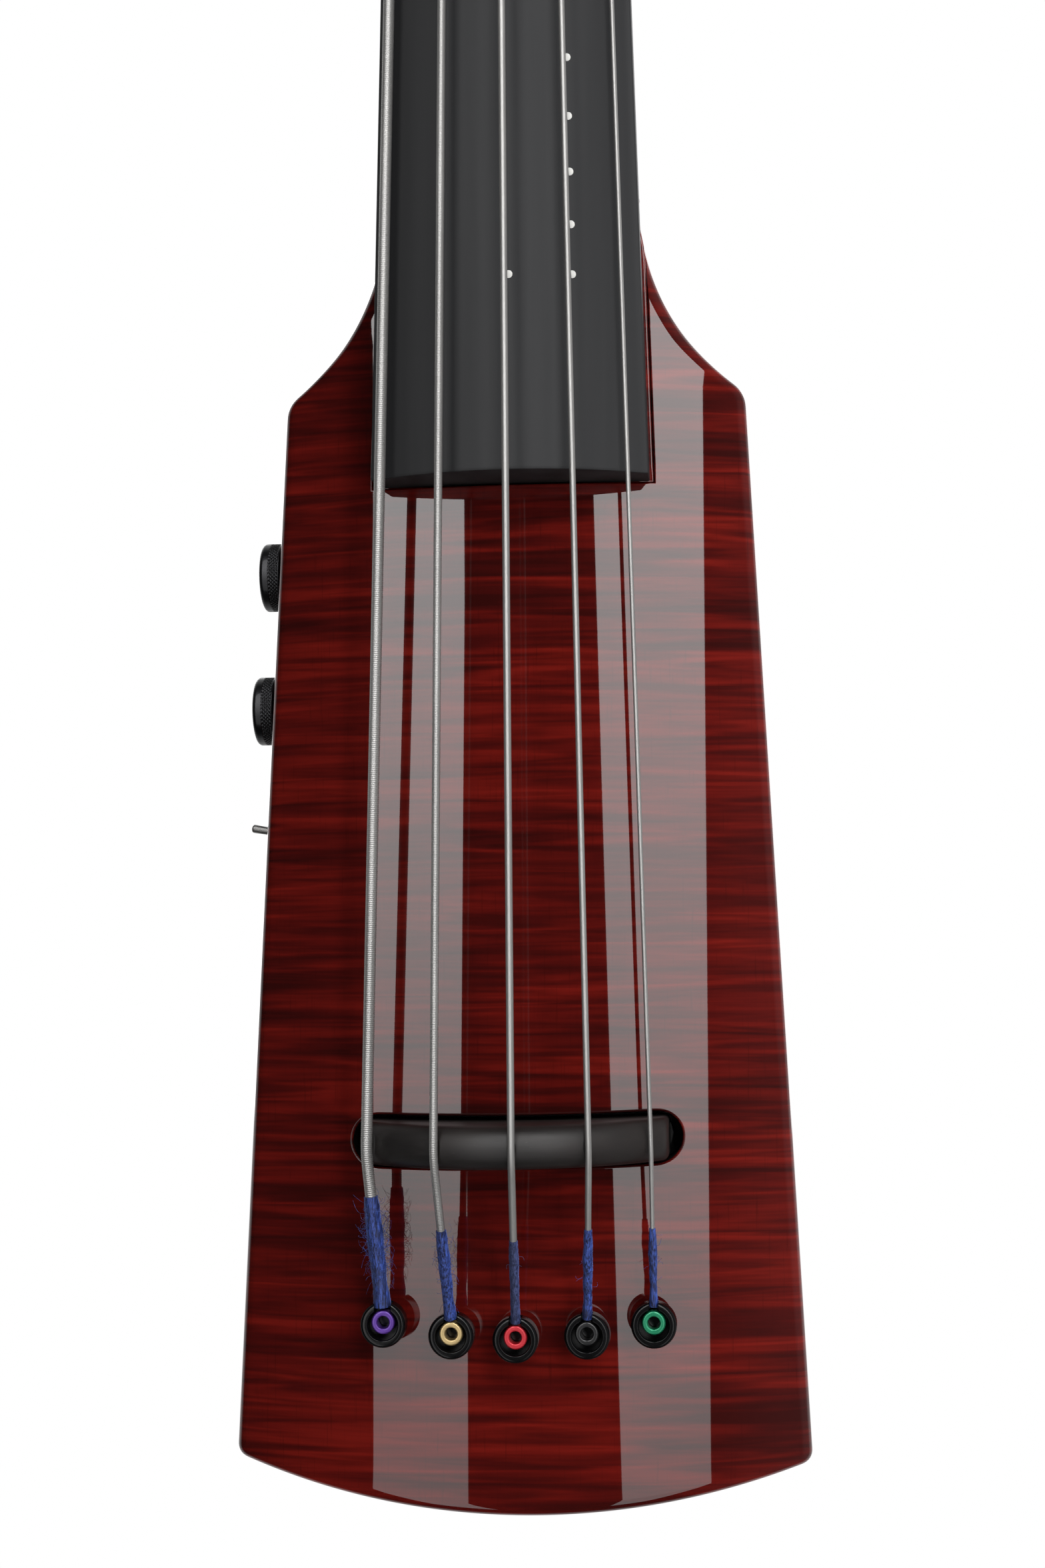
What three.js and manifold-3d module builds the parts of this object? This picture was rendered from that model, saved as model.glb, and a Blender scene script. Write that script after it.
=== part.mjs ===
// A five-string electric upright bass with a solid body, as an assembly of its separate pieces.
//
// Instrument frame, in millimetres: x points to the treble side, z up along the strings with
// z = 0 under the bridge's ridge, and y into the back with y = 0 at the rim of the top.
// A height h in front of the rim is y = -h. The finished part is shifted so that its origin is
// the centre of the stand plate's outer face.
import * as THREE from "three";
import { mergeVertices } from "three/addons/utils/BufferGeometryUtils.js";
import Module from "manifold-3d";

const wasm = await Module();
wasm.setup();

const GAP = 0.3; // between pieces that touch
const SCALE_LENGTH = 1060; // nut to bridge

const BODY = {
  bottom: -114.3,
  bottomRadius: 275,
  lowHalfWidth: 89.3,
  lowZ: -95,
  highHalfWidth: 74.2,
  highZ: 230,
  top: 292,
  topHalfWidth: 41.5,
  depth: 40,
  crown: 13,
  crownRadius: 320,
  backRound: 3,
  scoopStart: 222,
  scoopDepth: 22,
};

const FINGERBOARD = {
  end: 204,
  halfAtEnd: 43.5,
  halfAtNut: 22,
  base: 9.4,
  baseAtNut: 36.5,
  crownAtEnd: 24.6,
  crownAtNut: 10.1,
  radius: 84,
};
FINGERBOARD.length = SCALE_LENGTH - FINGERBOARD.end;
const NECK_ANGLE = Math.atan((FINGERBOARD.baseAtNut - FINGERBOARD.base) / FINGERBOARD.length);

const NECK = {
  heelLedge: 1.2,
  heelEnd: 0.2,
  slab: 3,
  tongueStart: 10,
  tongueHalf: 30,
  tongueDepth: 26,
  depthAtHeel: 33,
  depthAtNut: 24,
  inset: 0.2,
  edge: 3,
};
const HEADSTOCK = { angle: 12, thickness: 18, length: 196, setback: 2, blend: 16 };
const HEADSTOCK_OUTLINE = {
  half: 41,
  halfAtNut: 22,
  narrowing: 0.03,
  flare: { z: 23, half: 33, bend: 12 },
  shoulder: { z: 42, bend: 30 },
  corner: { size: 16, half: 33, tipHalf: 18 },
};
const NUT = { thickness: 7, lift: 1.2, spacing: 9.5, offset: -0.5 };
const TRUSS_ROD = { width: 6, top: 3.6, height: 9, start: 42 };
const ROD_COVER = { half: 9, start: 6, end: 34, thickness: 2 };

const SLOT = { length: 102.4, width: 16, floor: -16 };
const BRIDGE = { length: 94, thickness: 13, crown: 41.9, radius: 65, foot: -4, round: 4, ridgeZ: -2.8 };
// The bridge's seat: how its middle lies along the strings, its slant towards the bass side, and its bow.
const SEAT = { shift: -0.9, slant: 0.0118, bow: 1.1, steps: 12 };
const PICKUP = { length: 96, thickness: 12, height: 8 };
const BRIDGE_SCREW = { x: 34, radius: 2.5, top: 8.6 };

const STRINGS = [
  { name: "b", radius: 1.8, bridgeX: -44, anchorX: -40, postX: -27, postZ: 48, ball: 0x6a3fa0 },
  { name: "e", radius: 1.3, bridgeX: -22, anchorX: -19, postX: -23, postZ: 94, ball: 0xcaa75a },
  { name: "a", radius: 1.1, bridgeX: 1.5, anchorX: 0.5, postX: -19, postZ: 140, ball: 0xc8202c },
  { name: "d", radius: 0.95, bridgeX: 24, anchorX: 22, postX: 23, postZ: 117, ball: 0x18181b },
  { name: "g", radius: 0.7, bridgeX: 42, anchorX: 42, postX: 27, postZ: 71, ball: 0x0f8a55 },
];
const ANCHOR = {
  z: -60,
  bow: 420,
  height: 11.5,
  foot: 1,
  footRadius: 4.4,
  capRadius: 6.85,
  capHeight: 8,
  underRound: { across: 0.9, along: 1.6 },
  topRound: 1.2,
  recess: 4.6,
  stem: 3,
  depth: 20,
};
const BALL = { radius: 3.55, hole: 1.85, length: 5.5, sink: 0.8, shift: 0.7, stringGap: 1.2 };

const POST = { radius: 4.5, flange: 6.5, collar: 0.6, height: 19, windHeight: 9.8, turns: 2.5 };
const POST_SLOT = { half: 1.1, depth: 5 };
const GEAR = { radius: 8, thickness: 5 };
const WORM = { radius: 3, length: 10 };
const HOUSING = { width: 24, depth: 9.5, round: 1.2, corner: 4, margin: 3, play: 0.5 };
const KEY = { shaft: 2, thickness: 5.5, edge: 1.5, root: 4 };
const BUTTON = { start: 46, length: 24, half: 13 };

const CONTROLS = { h: -20, volumeZ: 181.5, toneZ: 136.8, switchZ: 96.2, jackZ: 27 };
const KNOB = { radius: 11.25, thickness: 7.2, standoff: 2.2 };
const POT = { radius: 11.5, length: 8, bushing: 3.9, shaft: 3 };
const SWITCH = { bushing: 3, bore: 2, reach: 1.5, pivotDepth: 1, boreDepth: 3 };
const SWITCH_CASE = { depth: 9, width: 8, length: 13 };
const LEVER = { length: 10.5, tilt: 10, ball: 1.6, neck: 1.15, tip: 1.35 };
const JACK = { flange: 8, flangeThickness: 1.5, proud: 0.5, barrel: 5.5, length: 30 };
const JACK_SOCKET = { radius: 3.3, depth: 26 };
const CAVITY = { bottom: 86, top: 201, inner: -24, wall: 8.5, ceiling: -5, cover: 3, lip: 3, corner: 5 };
const LEAD = { radius: 1.2, channel: 2.6 };
const PICKUP_LEAD = { x: -42, h: -12, end: 118 };
const JACK_LEAD = { x: -62, start: 36, end: 88 };

const PLATE = { z: 45, width: 70, height: 50, thickness: 5, proud: 2, corner: 6 };
const STAND_BOLT = { x: 18, radius: 4, depth: 12 };
const PLATE_SCREW = { x: 29, z: 19, radius: 2, head: 3.8, headDepth: 2.4, length: 16 };
const COVER_SCREW = { radius: 1.4, head: 2.6, headDepth: 1.6, length: 11 };
const SCREW_RIM = 0.4; // the straight edge of a countersunk head
const SCREW_SINK = 0.3; // from the face down to a screw's head

const LACQUER = { color: 0x4a1210, roughness: 0.12 };
const BLACK_METAL = { color: 0x1a1a1c, roughness: 0.35, metalness: 0.8 };
const STEEL = { color: 0xb8b8ba, roughness: 0.3, metalness: 1 };

// ---------------------------------------------------------------- helpers

function solid(geometry) {
  const plain = geometry.clone();
  plain.deleteAttribute("normal");
  plain.deleteAttribute("uv");
  const merged = mergeVertices(plain, 1e-4);
  return new wasm.Manifold(
    new wasm.Mesh({
      numProp: 3,
      vertProperties: merged.attributes.position.array,
      triVerts: new Uint32Array(merged.index.array),
    }),
  );
}

function geometryOf(manifold) {
  const mesh = manifold.getMesh();
  const geometry = new THREE.BufferGeometry();
  geometry.setAttribute("position", new THREE.BufferAttribute(mesh.vertProperties, 3));
  geometry.setIndex(new THREE.BufferAttribute(mesh.triVerts, 1));
  const flat = geometry.toNonIndexed();
  flat.computeVertexNormals();
  return flat;
}

const cut = (base, ...tools) =>
  geometryOf(tools.reduce((left, tool) => left.subtract(solid(tool)), solid(base)));
const join = (base, ...others) =>
  geometryOf(others.reduce((left, other) => left.add(solid(other)), solid(base)));
const common = (base, other) => geometryOf(solid(base).intersect(solid(other)));

function piece(parent, name, geometry, look) {
  const mesh = new THREE.Mesh(geometry, new THREE.MeshStandardMaterial(look));
  mesh.name = name;
  parent.add(mesh);
  return mesh;
}

// A shape drawn in x and z, given thickness from height low to height high.
function frontPlate(shape, low, high, bevel = 0, curveSegments = 3) {
  const options = { depth: high - low - 2 * bevel, bevelEnabled: bevel > 0, curveSegments };
  Object.assign(options, { bevelThickness: bevel, bevelSize: bevel, bevelOffset: -bevel, bevelSegments: 2 });
  const geometry = new THREE.ExtrudeGeometry(shape, options);
  geometry.translate(0, 0, low + bevel);
  return geometry.rotateX(Math.PI / 2);
}

// A shape drawn in x and y, stretched from z = low to z = high.
function zBar(shape, low, high, curveSegments = 24) {
  const options = { depth: high - low, bevelEnabled: false, curveSegments };
  return new THREE.ExtrudeGeometry(shape, options).translate(0, 0, low);
}

// A shape drawn in y and z, stretched from x = low to x = high.
function xBar(shape, low, high) {
  const options = { depth: high - low, bevelEnabled: false, curveSegments: 8 };
  const geometry = new THREE.ExtrudeGeometry(shape, options).translate(0, 0, low);
  const turn = new THREE.Matrix4().makeBasis(
    new THREE.Vector3(0, 1, 0),
    new THREE.Vector3(0, 0, 1),
    new THREE.Vector3(1, 0, 0),
  );
  return geometry.applyMatrix4(turn);
}

function box(x0, x1, y0, y1, z0, z1) {
  const geometry = new THREE.BoxGeometry(x1 - x0, y1 - y0, z1 - z0);
  return geometry.translate((x0 + x1) / 2, (y0 + y1) / 2, (z0 + z1) / 2);
}

// A round bar of changing radius. profile lists [radius, distance] from one end to the other, and
// the distance runs along +x, -y or +z.
function turned(profile, axis, segments = 24) {
  const points = profile.map(([radius, along]) => new THREE.Vector2(radius, along));
  const geometry = new THREE.LatheGeometry(points, segments);
  if (axis === "x") return geometry.rotateZ(-Math.PI / 2);
  if (axis === "y") return geometry.rotateX(Math.PI);
  return geometry.rotateX(Math.PI / 2);
}

const rod = (radius, low, high, axis, segments) =>
  turned([[0, low], [radius, low], [radius, high], [0, high]], axis, segments);

function roundedRectangle(x0, x1, z0, z1, radius) {
  const shape = new THREE.Shape();
  shape.moveTo(x0 + radius, z0);
  shape.absarc(x1 - radius, z0 + radius, radius, -Math.PI / 2, 0);
  shape.absarc(x1 - radius, z1 - radius, radius, 0, Math.PI / 2);
  shape.absarc(x0 + radius, z1 - radius, radius, Math.PI / 2, Math.PI);
  shape.absarc(x0 + radius, z0 + radius, radius, Math.PI, Math.PI * 1.5);
  return shape;
}

// A route through given points in even steps of its parameter, so that its corners stay where they are.
class Route extends THREE.Curve {
  constructor(points) {
    super();
    this.points = points;
  }
  getPoint(t, target = new THREE.Vector3()) {
    const place = t * (this.points.length - 1);
    const index = Math.min(Math.floor(place), this.points.length - 2);
    return target.lerpVectors(this.points[index], this.points[index + 1], place - index);
  }
  getPointAt(t, target) {
    return this.getPoint(t, target);
  }
  getTangentAt(t, target) {
    return this.getTangent(t, target);
  }
}

function tube(points, radius, sides = 8) {
  const section = new THREE.Shape();
  section.absarc(0, 0, radius, 0, Math.PI * 2);
  const options = { steps: points.length - 1, extrudePath: new Route(points), bevelEnabled: false };
  return new THREE.ExtrudeGeometry(section, { ...options, curveSegments: sides / 2 });
}

const mix = (from, to, share) => from + (to - from) * share;
const drop = (x, radius) => radius - Math.sqrt(radius * radius - x * x);
// The cosine of an arc's slope at x from its middle.
const slopeShare = (x, radius) => Math.sqrt(1 - (x / radius) ** 2);

// ---------------------------------------------------------------- body

const SIDE_SLOPE = (BODY.lowHalfWidth - BODY.highHalfWidth) / (BODY.highZ - BODY.lowZ);
const sideX = (z) => BODY.highHalfWidth + (BODY.highZ - z) * SIDE_SLOPE;
const topHeight = (x) => BODY.crown - drop(x, BODY.crownRadius);

function bodyOutline() {
  const cornerSize = 3.6;
  const shoulder = { z: 229, corner: [74.1, 233.6], start: [70.5, 236.3], bend: [46.7, 254] };
  const arcCentre = BODY.bottom + BODY.bottomRadius;
  const cornerX = sideX(BODY.lowZ) + 0.3;
  const arcEnd = -Math.acos((cornerX - cornerSize) / BODY.bottomRadius);
  const cornerZ = arcCentre - Math.sqrt(BODY.bottomRadius ** 2 - cornerX ** 2);
  const right = new THREE.Path();
  right.absarc(0, arcCentre, BODY.bottomRadius, -Math.PI / 2, arcEnd);
  right.quadraticCurveTo(cornerX, cornerZ, sideX(cornerZ + cornerSize), cornerZ + cornerSize);
  right.lineTo(sideX(shoulder.z), shoulder.z);
  right.quadraticCurveTo(...shoulder.corner, ...shoulder.start);
  right.quadraticCurveTo(...shoulder.bend, BODY.topHalfWidth, BODY.top);
  const points = right.getPoints(7);
  const left = points.slice(1).reverse();
  return new THREE.Shape([...points, ...left.map((p) => new THREE.Vector2(-p.x, p.y))]);
}

// The cross-section of the crowned top, wider and deeper than the body, to cut it with.
function crownBlank() {
  const reach = 100;
  const arc = Math.asin(reach / BODY.crownRadius);
  const shape = new THREE.Shape();
  shape.moveTo(-reach, BODY.depth * 2);
  shape.lineTo(reach, BODY.depth * 2);
  const centre = BODY.crownRadius - BODY.crown;
  shape.absarc(0, centre, BODY.crownRadius, -Math.PI / 2 + arc, -Math.PI / 2 - arc, true);
  return zBar(shape, BODY.bottom - 10, BODY.top + 10, 14);
}

// The scoop that thins the back towards the neck.
function heelScoop() {
  const { scoopStart, scoopDepth, depth, top } = BODY;
  const reach = (top - scoopStart) / 2;
  const shape = new THREE.Shape();
  shape.moveTo(depth + 1, scoopStart);
  shape.lineTo(depth + 1, top + 10);
  shape.lineTo(scoopDepth, top + 10);
  shape.lineTo(scoopDepth, top);
  shape.bezierCurveTo(scoopDepth, top - reach, depth, scoopStart + reach, depth, scoopStart);
  return xBar(shape, -100, 100);
}

// How far the bridge's seat lies along z at a given x.
const seatZ = (x) => SEAT.shift + SEAT.slant * x - SEAT.bow * (1 - ((2 * x) / SLOT.length) ** 2);

function onSeat(geometry) {
  const place = geometry.attributes.position;
  for (let i = 0; i < place.count; i += 1) place.setZ(i, place.getZ(i) + seatZ(place.getX(i)));
  return geometry;
}

// A bar's outline with round ends, its long sides in short steps so that they can follow the seat.
function roundEnded(length, width) {
  const radius = width / 2 - 0.01;
  const straight = length / 2 - radius;
  const shape = new THREE.Shape();
  shape.absarc(straight, 0, radius, -Math.PI / 2, Math.PI / 2);
  for (let i = 1; i < SEAT.steps; i += 1) shape.lineTo(mix(straight, -straight, i / SEAT.steps), radius);
  shape.absarc(-straight, 0, radius, Math.PI / 2, Math.PI * 1.5);
  for (let i = 1; i < SEAT.steps; i += 1) shape.lineTo(mix(-straight, straight, i / SEAT.steps), -radius);
  return shape;
}

const bridgeSlot = () =>
  onSeat(frontPlate(roundEnded(SLOT.length, SLOT.width), SLOT.floor, BODY.crown + 5, 0, 5));

// The outline of the control cavity, with its outer side parallel to the body's, grown by a margin.
function cavityOutline(grow) {
  const low = CAVITY.bottom - grow;
  const high = CAVITY.top + grow;
  const outer = (z) => -(sideX(z) - CAVITY.wall) - grow;
  const inner = CAVITY.inner + grow;
  const corner = CAVITY.corner;
  const shape = new THREE.Shape();
  shape.moveTo(outer(low) + corner, low);
  shape.lineTo(inner - corner, low);
  shape.quadraticCurveTo(inner, low, inner, low + corner);
  shape.lineTo(inner, high - corner);
  shape.quadraticCurveTo(inner, high, inner - corner, high);
  shape.lineTo(outer(high) + corner, high);
  shape.quadraticCurveTo(outer(high), high, outer(high - corner), high - corner);
  shape.lineTo(outer(low + corner), low + corner);
  shape.quadraticCurveTo(outer(low), low, outer(low) + corner, low);
  return shape;
}

const sideHole = (radius, z, reach) =>
  rod(radius, -sideX(z) - 5, -sideX(z) + reach, "x").translate(0, -CONTROLS.h, z);

const COVER_SCREWS = [CAVITY.bottom + 2, CAVITY.top - 2].flatMap((z) => [
  [-(sideX(z) - CAVITY.wall) + 5, z],
  [CAVITY.inner - 3, z],
]);
const PLATE_SCREWS = [-1, 1].flatMap((side) => [
  [side * PLATE_SCREW.x, PLATE.z - PLATE_SCREW.z],
  [side * PLATE_SCREW.x, PLATE.z + PLATE_SCREW.z],
]);

function anchorPlace(string) {
  return { x: string.anchorX, z: ANCHOR.z + string.anchorX ** 2 / ANCHOR.bow, h: topHeight(string.anchorX) };
}

function addBody(parent, neckFrame) {
  const back = -BODY.depth;
  let shell = common(frontPlate(bodyOutline(), back, BODY.crown + 10, BODY.backRound), crownBlank());
  shell = cut(shell, heelScoop(), bridgeSlot());
  shell = cut(
    shell,
    frontPlate(cavityOutline(0), back - 1, CAVITY.ceiling),
    frontPlate(cavityOutline(CAVITY.lip), back - 1, back + CAVITY.cover),
  );
  const outer = PLATE.thickness - PLATE.proud + GAP;
  const plateRecess = plateOutline(GAP);
  const intoCavity = CAVITY.wall + 5;
  const channelEnd = CAVITY.bottom + 2;
  shell = cut(
    shell,
    frontPlate(plateRecess, back - 1, back + outer),
    sideHole(POT.bushing + GAP, CONTROLS.volumeZ, intoCavity),
    sideHole(POT.bushing + GAP, CONTROLS.toneZ, intoCavity),
    sideHole(SWITCH.bushing + GAP, CONTROLS.switchZ, intoCavity),
    sideHole(JACK.barrel + GAP, CONTROLS.jackZ, JACK.length + 1),
    sideHole(JACK.flange + GAP, CONTROLS.jackZ, JACK.flangeThickness - JACK.proud + GAP),
    rod(LEAD.channel, 0, channelEnd, "z", 12).translate(PICKUP_LEAD.x, -PICKUP_LEAD.h, 0),
    rod(LEAD.channel, CONTROLS.jackZ, channelEnd, "z", 12).translate(JACK_LEAD.x, -CONTROLS.h, 0),
  );
  const fastenerHoles = [
    ...PLATE_SCREWS.map(([x, z]) => screwHole(PLATE_SCREW, x, z)),
    ...COVER_SCREWS.map(([x, z]) => screwHole(COVER_SCREW, x, z)),
    ...[-1, 1].map((side) => {
      const room = rod(STAND_BOLT.radius + GAP, back - 1, back + STAND_BOLT.depth, "y", 16);
      return room.translate(side * STAND_BOLT.x, 0, PLATE.z);
    }),
    ...STRINGS.map((string) => {
      const place = anchorPlace(string);
      const hole = rod(ANCHOR.stem + GAP, place.h - ANCHOR.depth - 1, place.h + 5, "y", 16);
      return hole.translate(place.x, 0, place.z);
    }),
  ];
  shell = cut(shell, ...fastenerHoles);
  piece(parent, "body", cut(shell, ...neckPocket(neckFrame)), LACQUER);
}

function screwHole(screw, x, z) {
  const deepest = -BODY.depth + screw.length + 1;
  return rod(screw.radius + GAP, -BODY.depth - 1, deepest, "y", 12).translate(x, 0, z);
}

// ---------------------------------------------------------------- neck

const fingerboardHalf = (along) =>
  mix(FINGERBOARD.halfAtEnd, FINGERBOARD.halfAtNut, along / FINGERBOARD.length);

// A four-sided board with straight sides that follow the fingerboard's taper, in the neck's frame.
function taperedBoard(start, end, extra, low, high) {
  const shape = new THREE.Shape();
  shape.moveTo(-fingerboardHalf(start) - extra, start);
  shape.lineTo(fingerboardHalf(start) + extra, start);
  shape.lineTo(fingerboardHalf(end) + extra, end);
  shape.lineTo(-fingerboardHalf(end) - extra, end);
  return frontPlate(shape, low, high);
}

// What the body gives up for the neck: the recess for the heel's slab and the fingerboard, and the
// pocket for the tongue.
function neckPocket(neckFrame) {
  const reach = BODY.top - FINGERBOARD.end + 20;
  const floor = -NECK.slab - 2 * GAP;
  const slabRoom = taperedBoard(-NECK.heelEnd - GAP, reach, NECK.heelLedge + GAP, floor, NECK.slab * 10);
  const half = NECK.tongueHalf + GAP;
  const tongueRoom = box(-half, half, 0, NECK.tongueDepth + 2 * GAP, NECK.tongueStart - GAP, reach);
  return [slabRoom, tongueRoom].map((room) => room.applyMatrix4(neckFrame));
}

// Scales an x and y section evenly along z between its values at both ends.
function taper(geometry, length, widthRatio, depthRatio) {
  const place = geometry.attributes.position;
  for (let i = 0; i < place.count; i += 1) {
    const share = place.getZ(i) / length;
    place.setX(i, place.getX(i) * mix(1, widthRatio, share));
    place.setY(i, place.getY(i) * mix(1, depthRatio, share));
  }
  return geometry;
}

function neckShaft(start, end) {
  const half = fingerboardHalf(start) - NECK.inset;
  const depth = NECK.depthAtHeel;
  const { edge } = NECK;
  const shape = new THREE.Shape();
  shape.moveTo(-half, 0);
  shape.lineTo(-half, edge);
  shape.bezierCurveTo(-half, depth * 0.8, -half * 0.65, depth, 0, depth);
  shape.bezierCurveTo(half * 0.65, depth, half, depth * 0.8, half, edge);
  shape.lineTo(half, 0);
  const length = end - start;
  const widthRatio = (fingerboardHalf(end) - NECK.inset) / half;
  const shaft = taper(zBar(shape, 0, length, 8), length, widthRatio, NECK.depthAtNut / depth);
  return shaft.translate(0, GAP, start);
}

const headstockEdge = (z) => HEADSTOCK_OUTLINE.half - z * HEADSTOCK_OUTLINE.narrowing;

function headstockOutline() {
  const { length } = HEADSTOCK;
  const right = new THREE.Path();
  const { half, halfAtNut, flare, shoulder, corner } = HEADSTOCK_OUTLINE;
  right.moveTo(halfAtNut, 1);
  right.quadraticCurveTo(halfAtNut + 1, flare.bend, flare.half, flare.z);
  right.quadraticCurveTo(half, shoulder.bend, headstockEdge(shoulder.z), shoulder.z);
  right.lineTo(headstockEdge(length - corner.size), length - corner.size);
  right.quadraticCurveTo(corner.half, length - 2, corner.tipHalf, length - 1);
  right.quadraticCurveTo(corner.tipHalf / 2, length, 0, length);
  const points = right.getPoints(4);
  const left = points.slice(0, -1).reverse();
  return new THREE.Shape([...points, ...left.map((p) => new THREE.Vector2(-p.x, p.y))]);
}

const NUT_END = FINGERBOARD.length / Math.cos(NECK_ANGLE) + GAP + NUT.thickness;

function addNeck(parent, headstockFrame, outline) {
  const bodyTop = (BODY.top - FINGERBOARD.end) / Math.cos(NECK_ANGLE) + 2;
  const slab = taperedBoard(-NECK.heelEnd, bodyTop + 10, NECK.heelLedge, -NECK.slab - GAP, -GAP);
  const slabInBody = common(slab, outline);
  const tongueDepth = NECK.tongueDepth + GAP;
  const tongue = box(-NECK.tongueHalf, NECK.tongueHalf, 1, tongueDepth, NECK.tongueStart, bodyTop + 10);
  const board = frontPlate(headstockOutline(), -HEADSTOCK.thickness, 0, 1.5).applyMatrix4(headstockFrame);
  const shaft = neckShaft(bodyTop, NUT_END + HEADSTOCK.blend);
  const inFront = box(-50, 50, -40, 0, -GAP, 80).applyMatrix4(headstockFrame);
  const wood = join(slabInBody, tongue, cut(shaft, inFront), board);
  const half = TRUSS_ROD.width / 2 + GAP;
  const roomDepth = TRUSS_ROD.top + TRUSS_ROD.height + GAP;
  const rodRoom = box(-half, half, -1, roomDepth, TRUSS_ROD.start - 2, NUT_END + 14);
  const postHoles = STRINGS.map((string) => {
    const hole = rod(POST.radius + POST.collar + GAP, -HEADSTOCK.thickness - 5, 5, "y", 14);
    return hole.translate(string.postX, 0, string.postZ).applyMatrix4(headstockFrame);
  });
  piece(parent, "neck", cut(wood, rodRoom, ...postHoles), LACQUER);
}

function addFingerboard(parent) {
  const length = FINGERBOARD.length / Math.cos(NECK_ANGLE);
  const half = FINGERBOARD.halfAtEnd;
  const arch = (share) => {
    const x = mix(-half, half, share);
    return new THREE.Vector2(x, -(FINGERBOARD.crownAtEnd - drop(x, FINGERBOARD.radius)));
  };
  const steps = 16;
  const top = Array.from({ length: steps + 1 }, (_, i) => arch(i / steps));
  const shape = new THREE.Shape([...top, new THREE.Vector2(half, 0), new THREE.Vector2(-half, 0)]);
  const board = zBar(shape, 0, length);
  const place = board.attributes.position;
  for (let i = 0; i < place.count; i += 1) {
    const share = place.getZ(i) / length;
    if (share > 0.5 && place.getY(i) < 0) {
      const x = place.getX(i) * (FINGERBOARD.halfAtNut / half);
      place.setY(i, -(FINGERBOARD.crownAtNut - drop(x, FINGERBOARD.radius)));
    }
    place.setX(i, place.getX(i) * mix(1, FINGERBOARD.halfAtNut / half, share));
  }
  piece(parent, "fingerboard", board, { color: 0x232325, roughness: 0.6 });
}

// Height of the nut's top above the neck's face.
const nutHeight = (x) => FINGERBOARD.crownAtNut + NUT.lift - drop(x, FINGERBOARD.radius);

function addNut(parent) {
  const half = FINGERBOARD.halfAtNut;
  const steps = 10;
  const top = Array.from({ length: steps + 1 }, (_, i) => {
    const x = mix(-half, half, i / steps);
    return new THREE.Vector2(x, -nutHeight(x));
  });
  const shape = new THREE.Shape([...top, new THREE.Vector2(half, 0), new THREE.Vector2(-half, 0)]);
  piece(parent, "nut", zBar(shape, NUT_END - NUT.thickness, NUT_END), { color: 0x17140f, roughness: 0.4 });
}

function addTrussRod(parent) {
  const { width, top, height, start } = TRUSS_ROD;
  piece(parent, "truss_rod", box(-width / 2, width / 2, top, top + height, start, NUT_END + 6), STEEL);
}

function addTrussRodCover(headstock) {
  const shape = new THREE.Shape();
  const { half, start, end, thickness } = ROD_COVER;
  const bend = mix(start, end, 0.65);
  shape.moveTo(-half, start);
  shape.lineTo(half, start);
  shape.quadraticCurveTo(half - 1, bend, 0, end);
  shape.quadraticCurveTo(1 - half, bend, -half, start);
  const cover = frontPlate(shape, GAP, GAP + thickness);
  piece(headstock, "truss_rod_cover", cover, { color: 0x151515, roughness: 0.3 });
}

// ---------------------------------------------------------------- bridge and pickup

const bridgeHeight = (x) => BRIDGE.crown - drop(x, BRIDGE.radius);

function addBridge(parent) {
  const half = BRIDGE.length / 2;
  const steps = 14;
  const top = Array.from({ length: steps + 1 }, (_, i) => {
    const x = mix(-half, half, i / steps);
    return new THREE.Vector2(x, bridgeHeight(x));
  });
  const feet = top.map(({ x }) => new THREE.Vector2(-x, BRIDGE.foot));
  const shape = new THREE.Shape([...top, ...feet]);
  const bar = new THREE.ExtrudeGeometry(shape, {
    depth: BRIDGE.thickness - 2 * BRIDGE.round,
    bevelThickness: BRIDGE.round,
    bevelSize: BRIDGE.round * 0.8,
    bevelOffset: -BRIDGE.round * 0.8,
    bevelSegments: 3,
  });
  bar.translate(0, 0, -BRIDGE.thickness / 2 + BRIDGE.round).rotateX(Math.PI);
  const holes = [-1, 1].map((side) => {
    const hole = rod(BRIDGE_SCREW.radius + GAP, BRIDGE.foot - 1, BRIDGE_SCREW.top + 1, "y", 12);
    return hole.translate(side * BRIDGE_SCREW.x, 0, seatZ(side * BRIDGE_SCREW.x));
  });
  piece(parent, "bridge", cut(onSeat(bar), ...holes), { color: 0x1b1817, roughness: 0.4 });
}

function addPickup(parent) {
  const low = SLOT.floor + GAP;
  const bar = onSeat(frontPlate(roundEnded(PICKUP.length, PICKUP.thickness), low, low + PICKUP.height));
  piece(parent, "pickup_bar", bar, { color: 0x2a2a2c, roughness: 0.5 });
  for (const [name, side] of [["bass", -1], ["treble", 1]]) {
    const screw = rod(BRIDGE_SCREW.radius, low + PICKUP.height + GAP, BRIDGE_SCREW.top, "y", 12);
    screw.translate(side * BRIDGE_SCREW.x, 0, seatZ(side * BRIDGE_SCREW.x));
    piece(parent, `bridge_screw_${name}`, screw, STEEL);
  }
}

// ---------------------------------------------------------------- anchors, ball ends and strings

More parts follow.
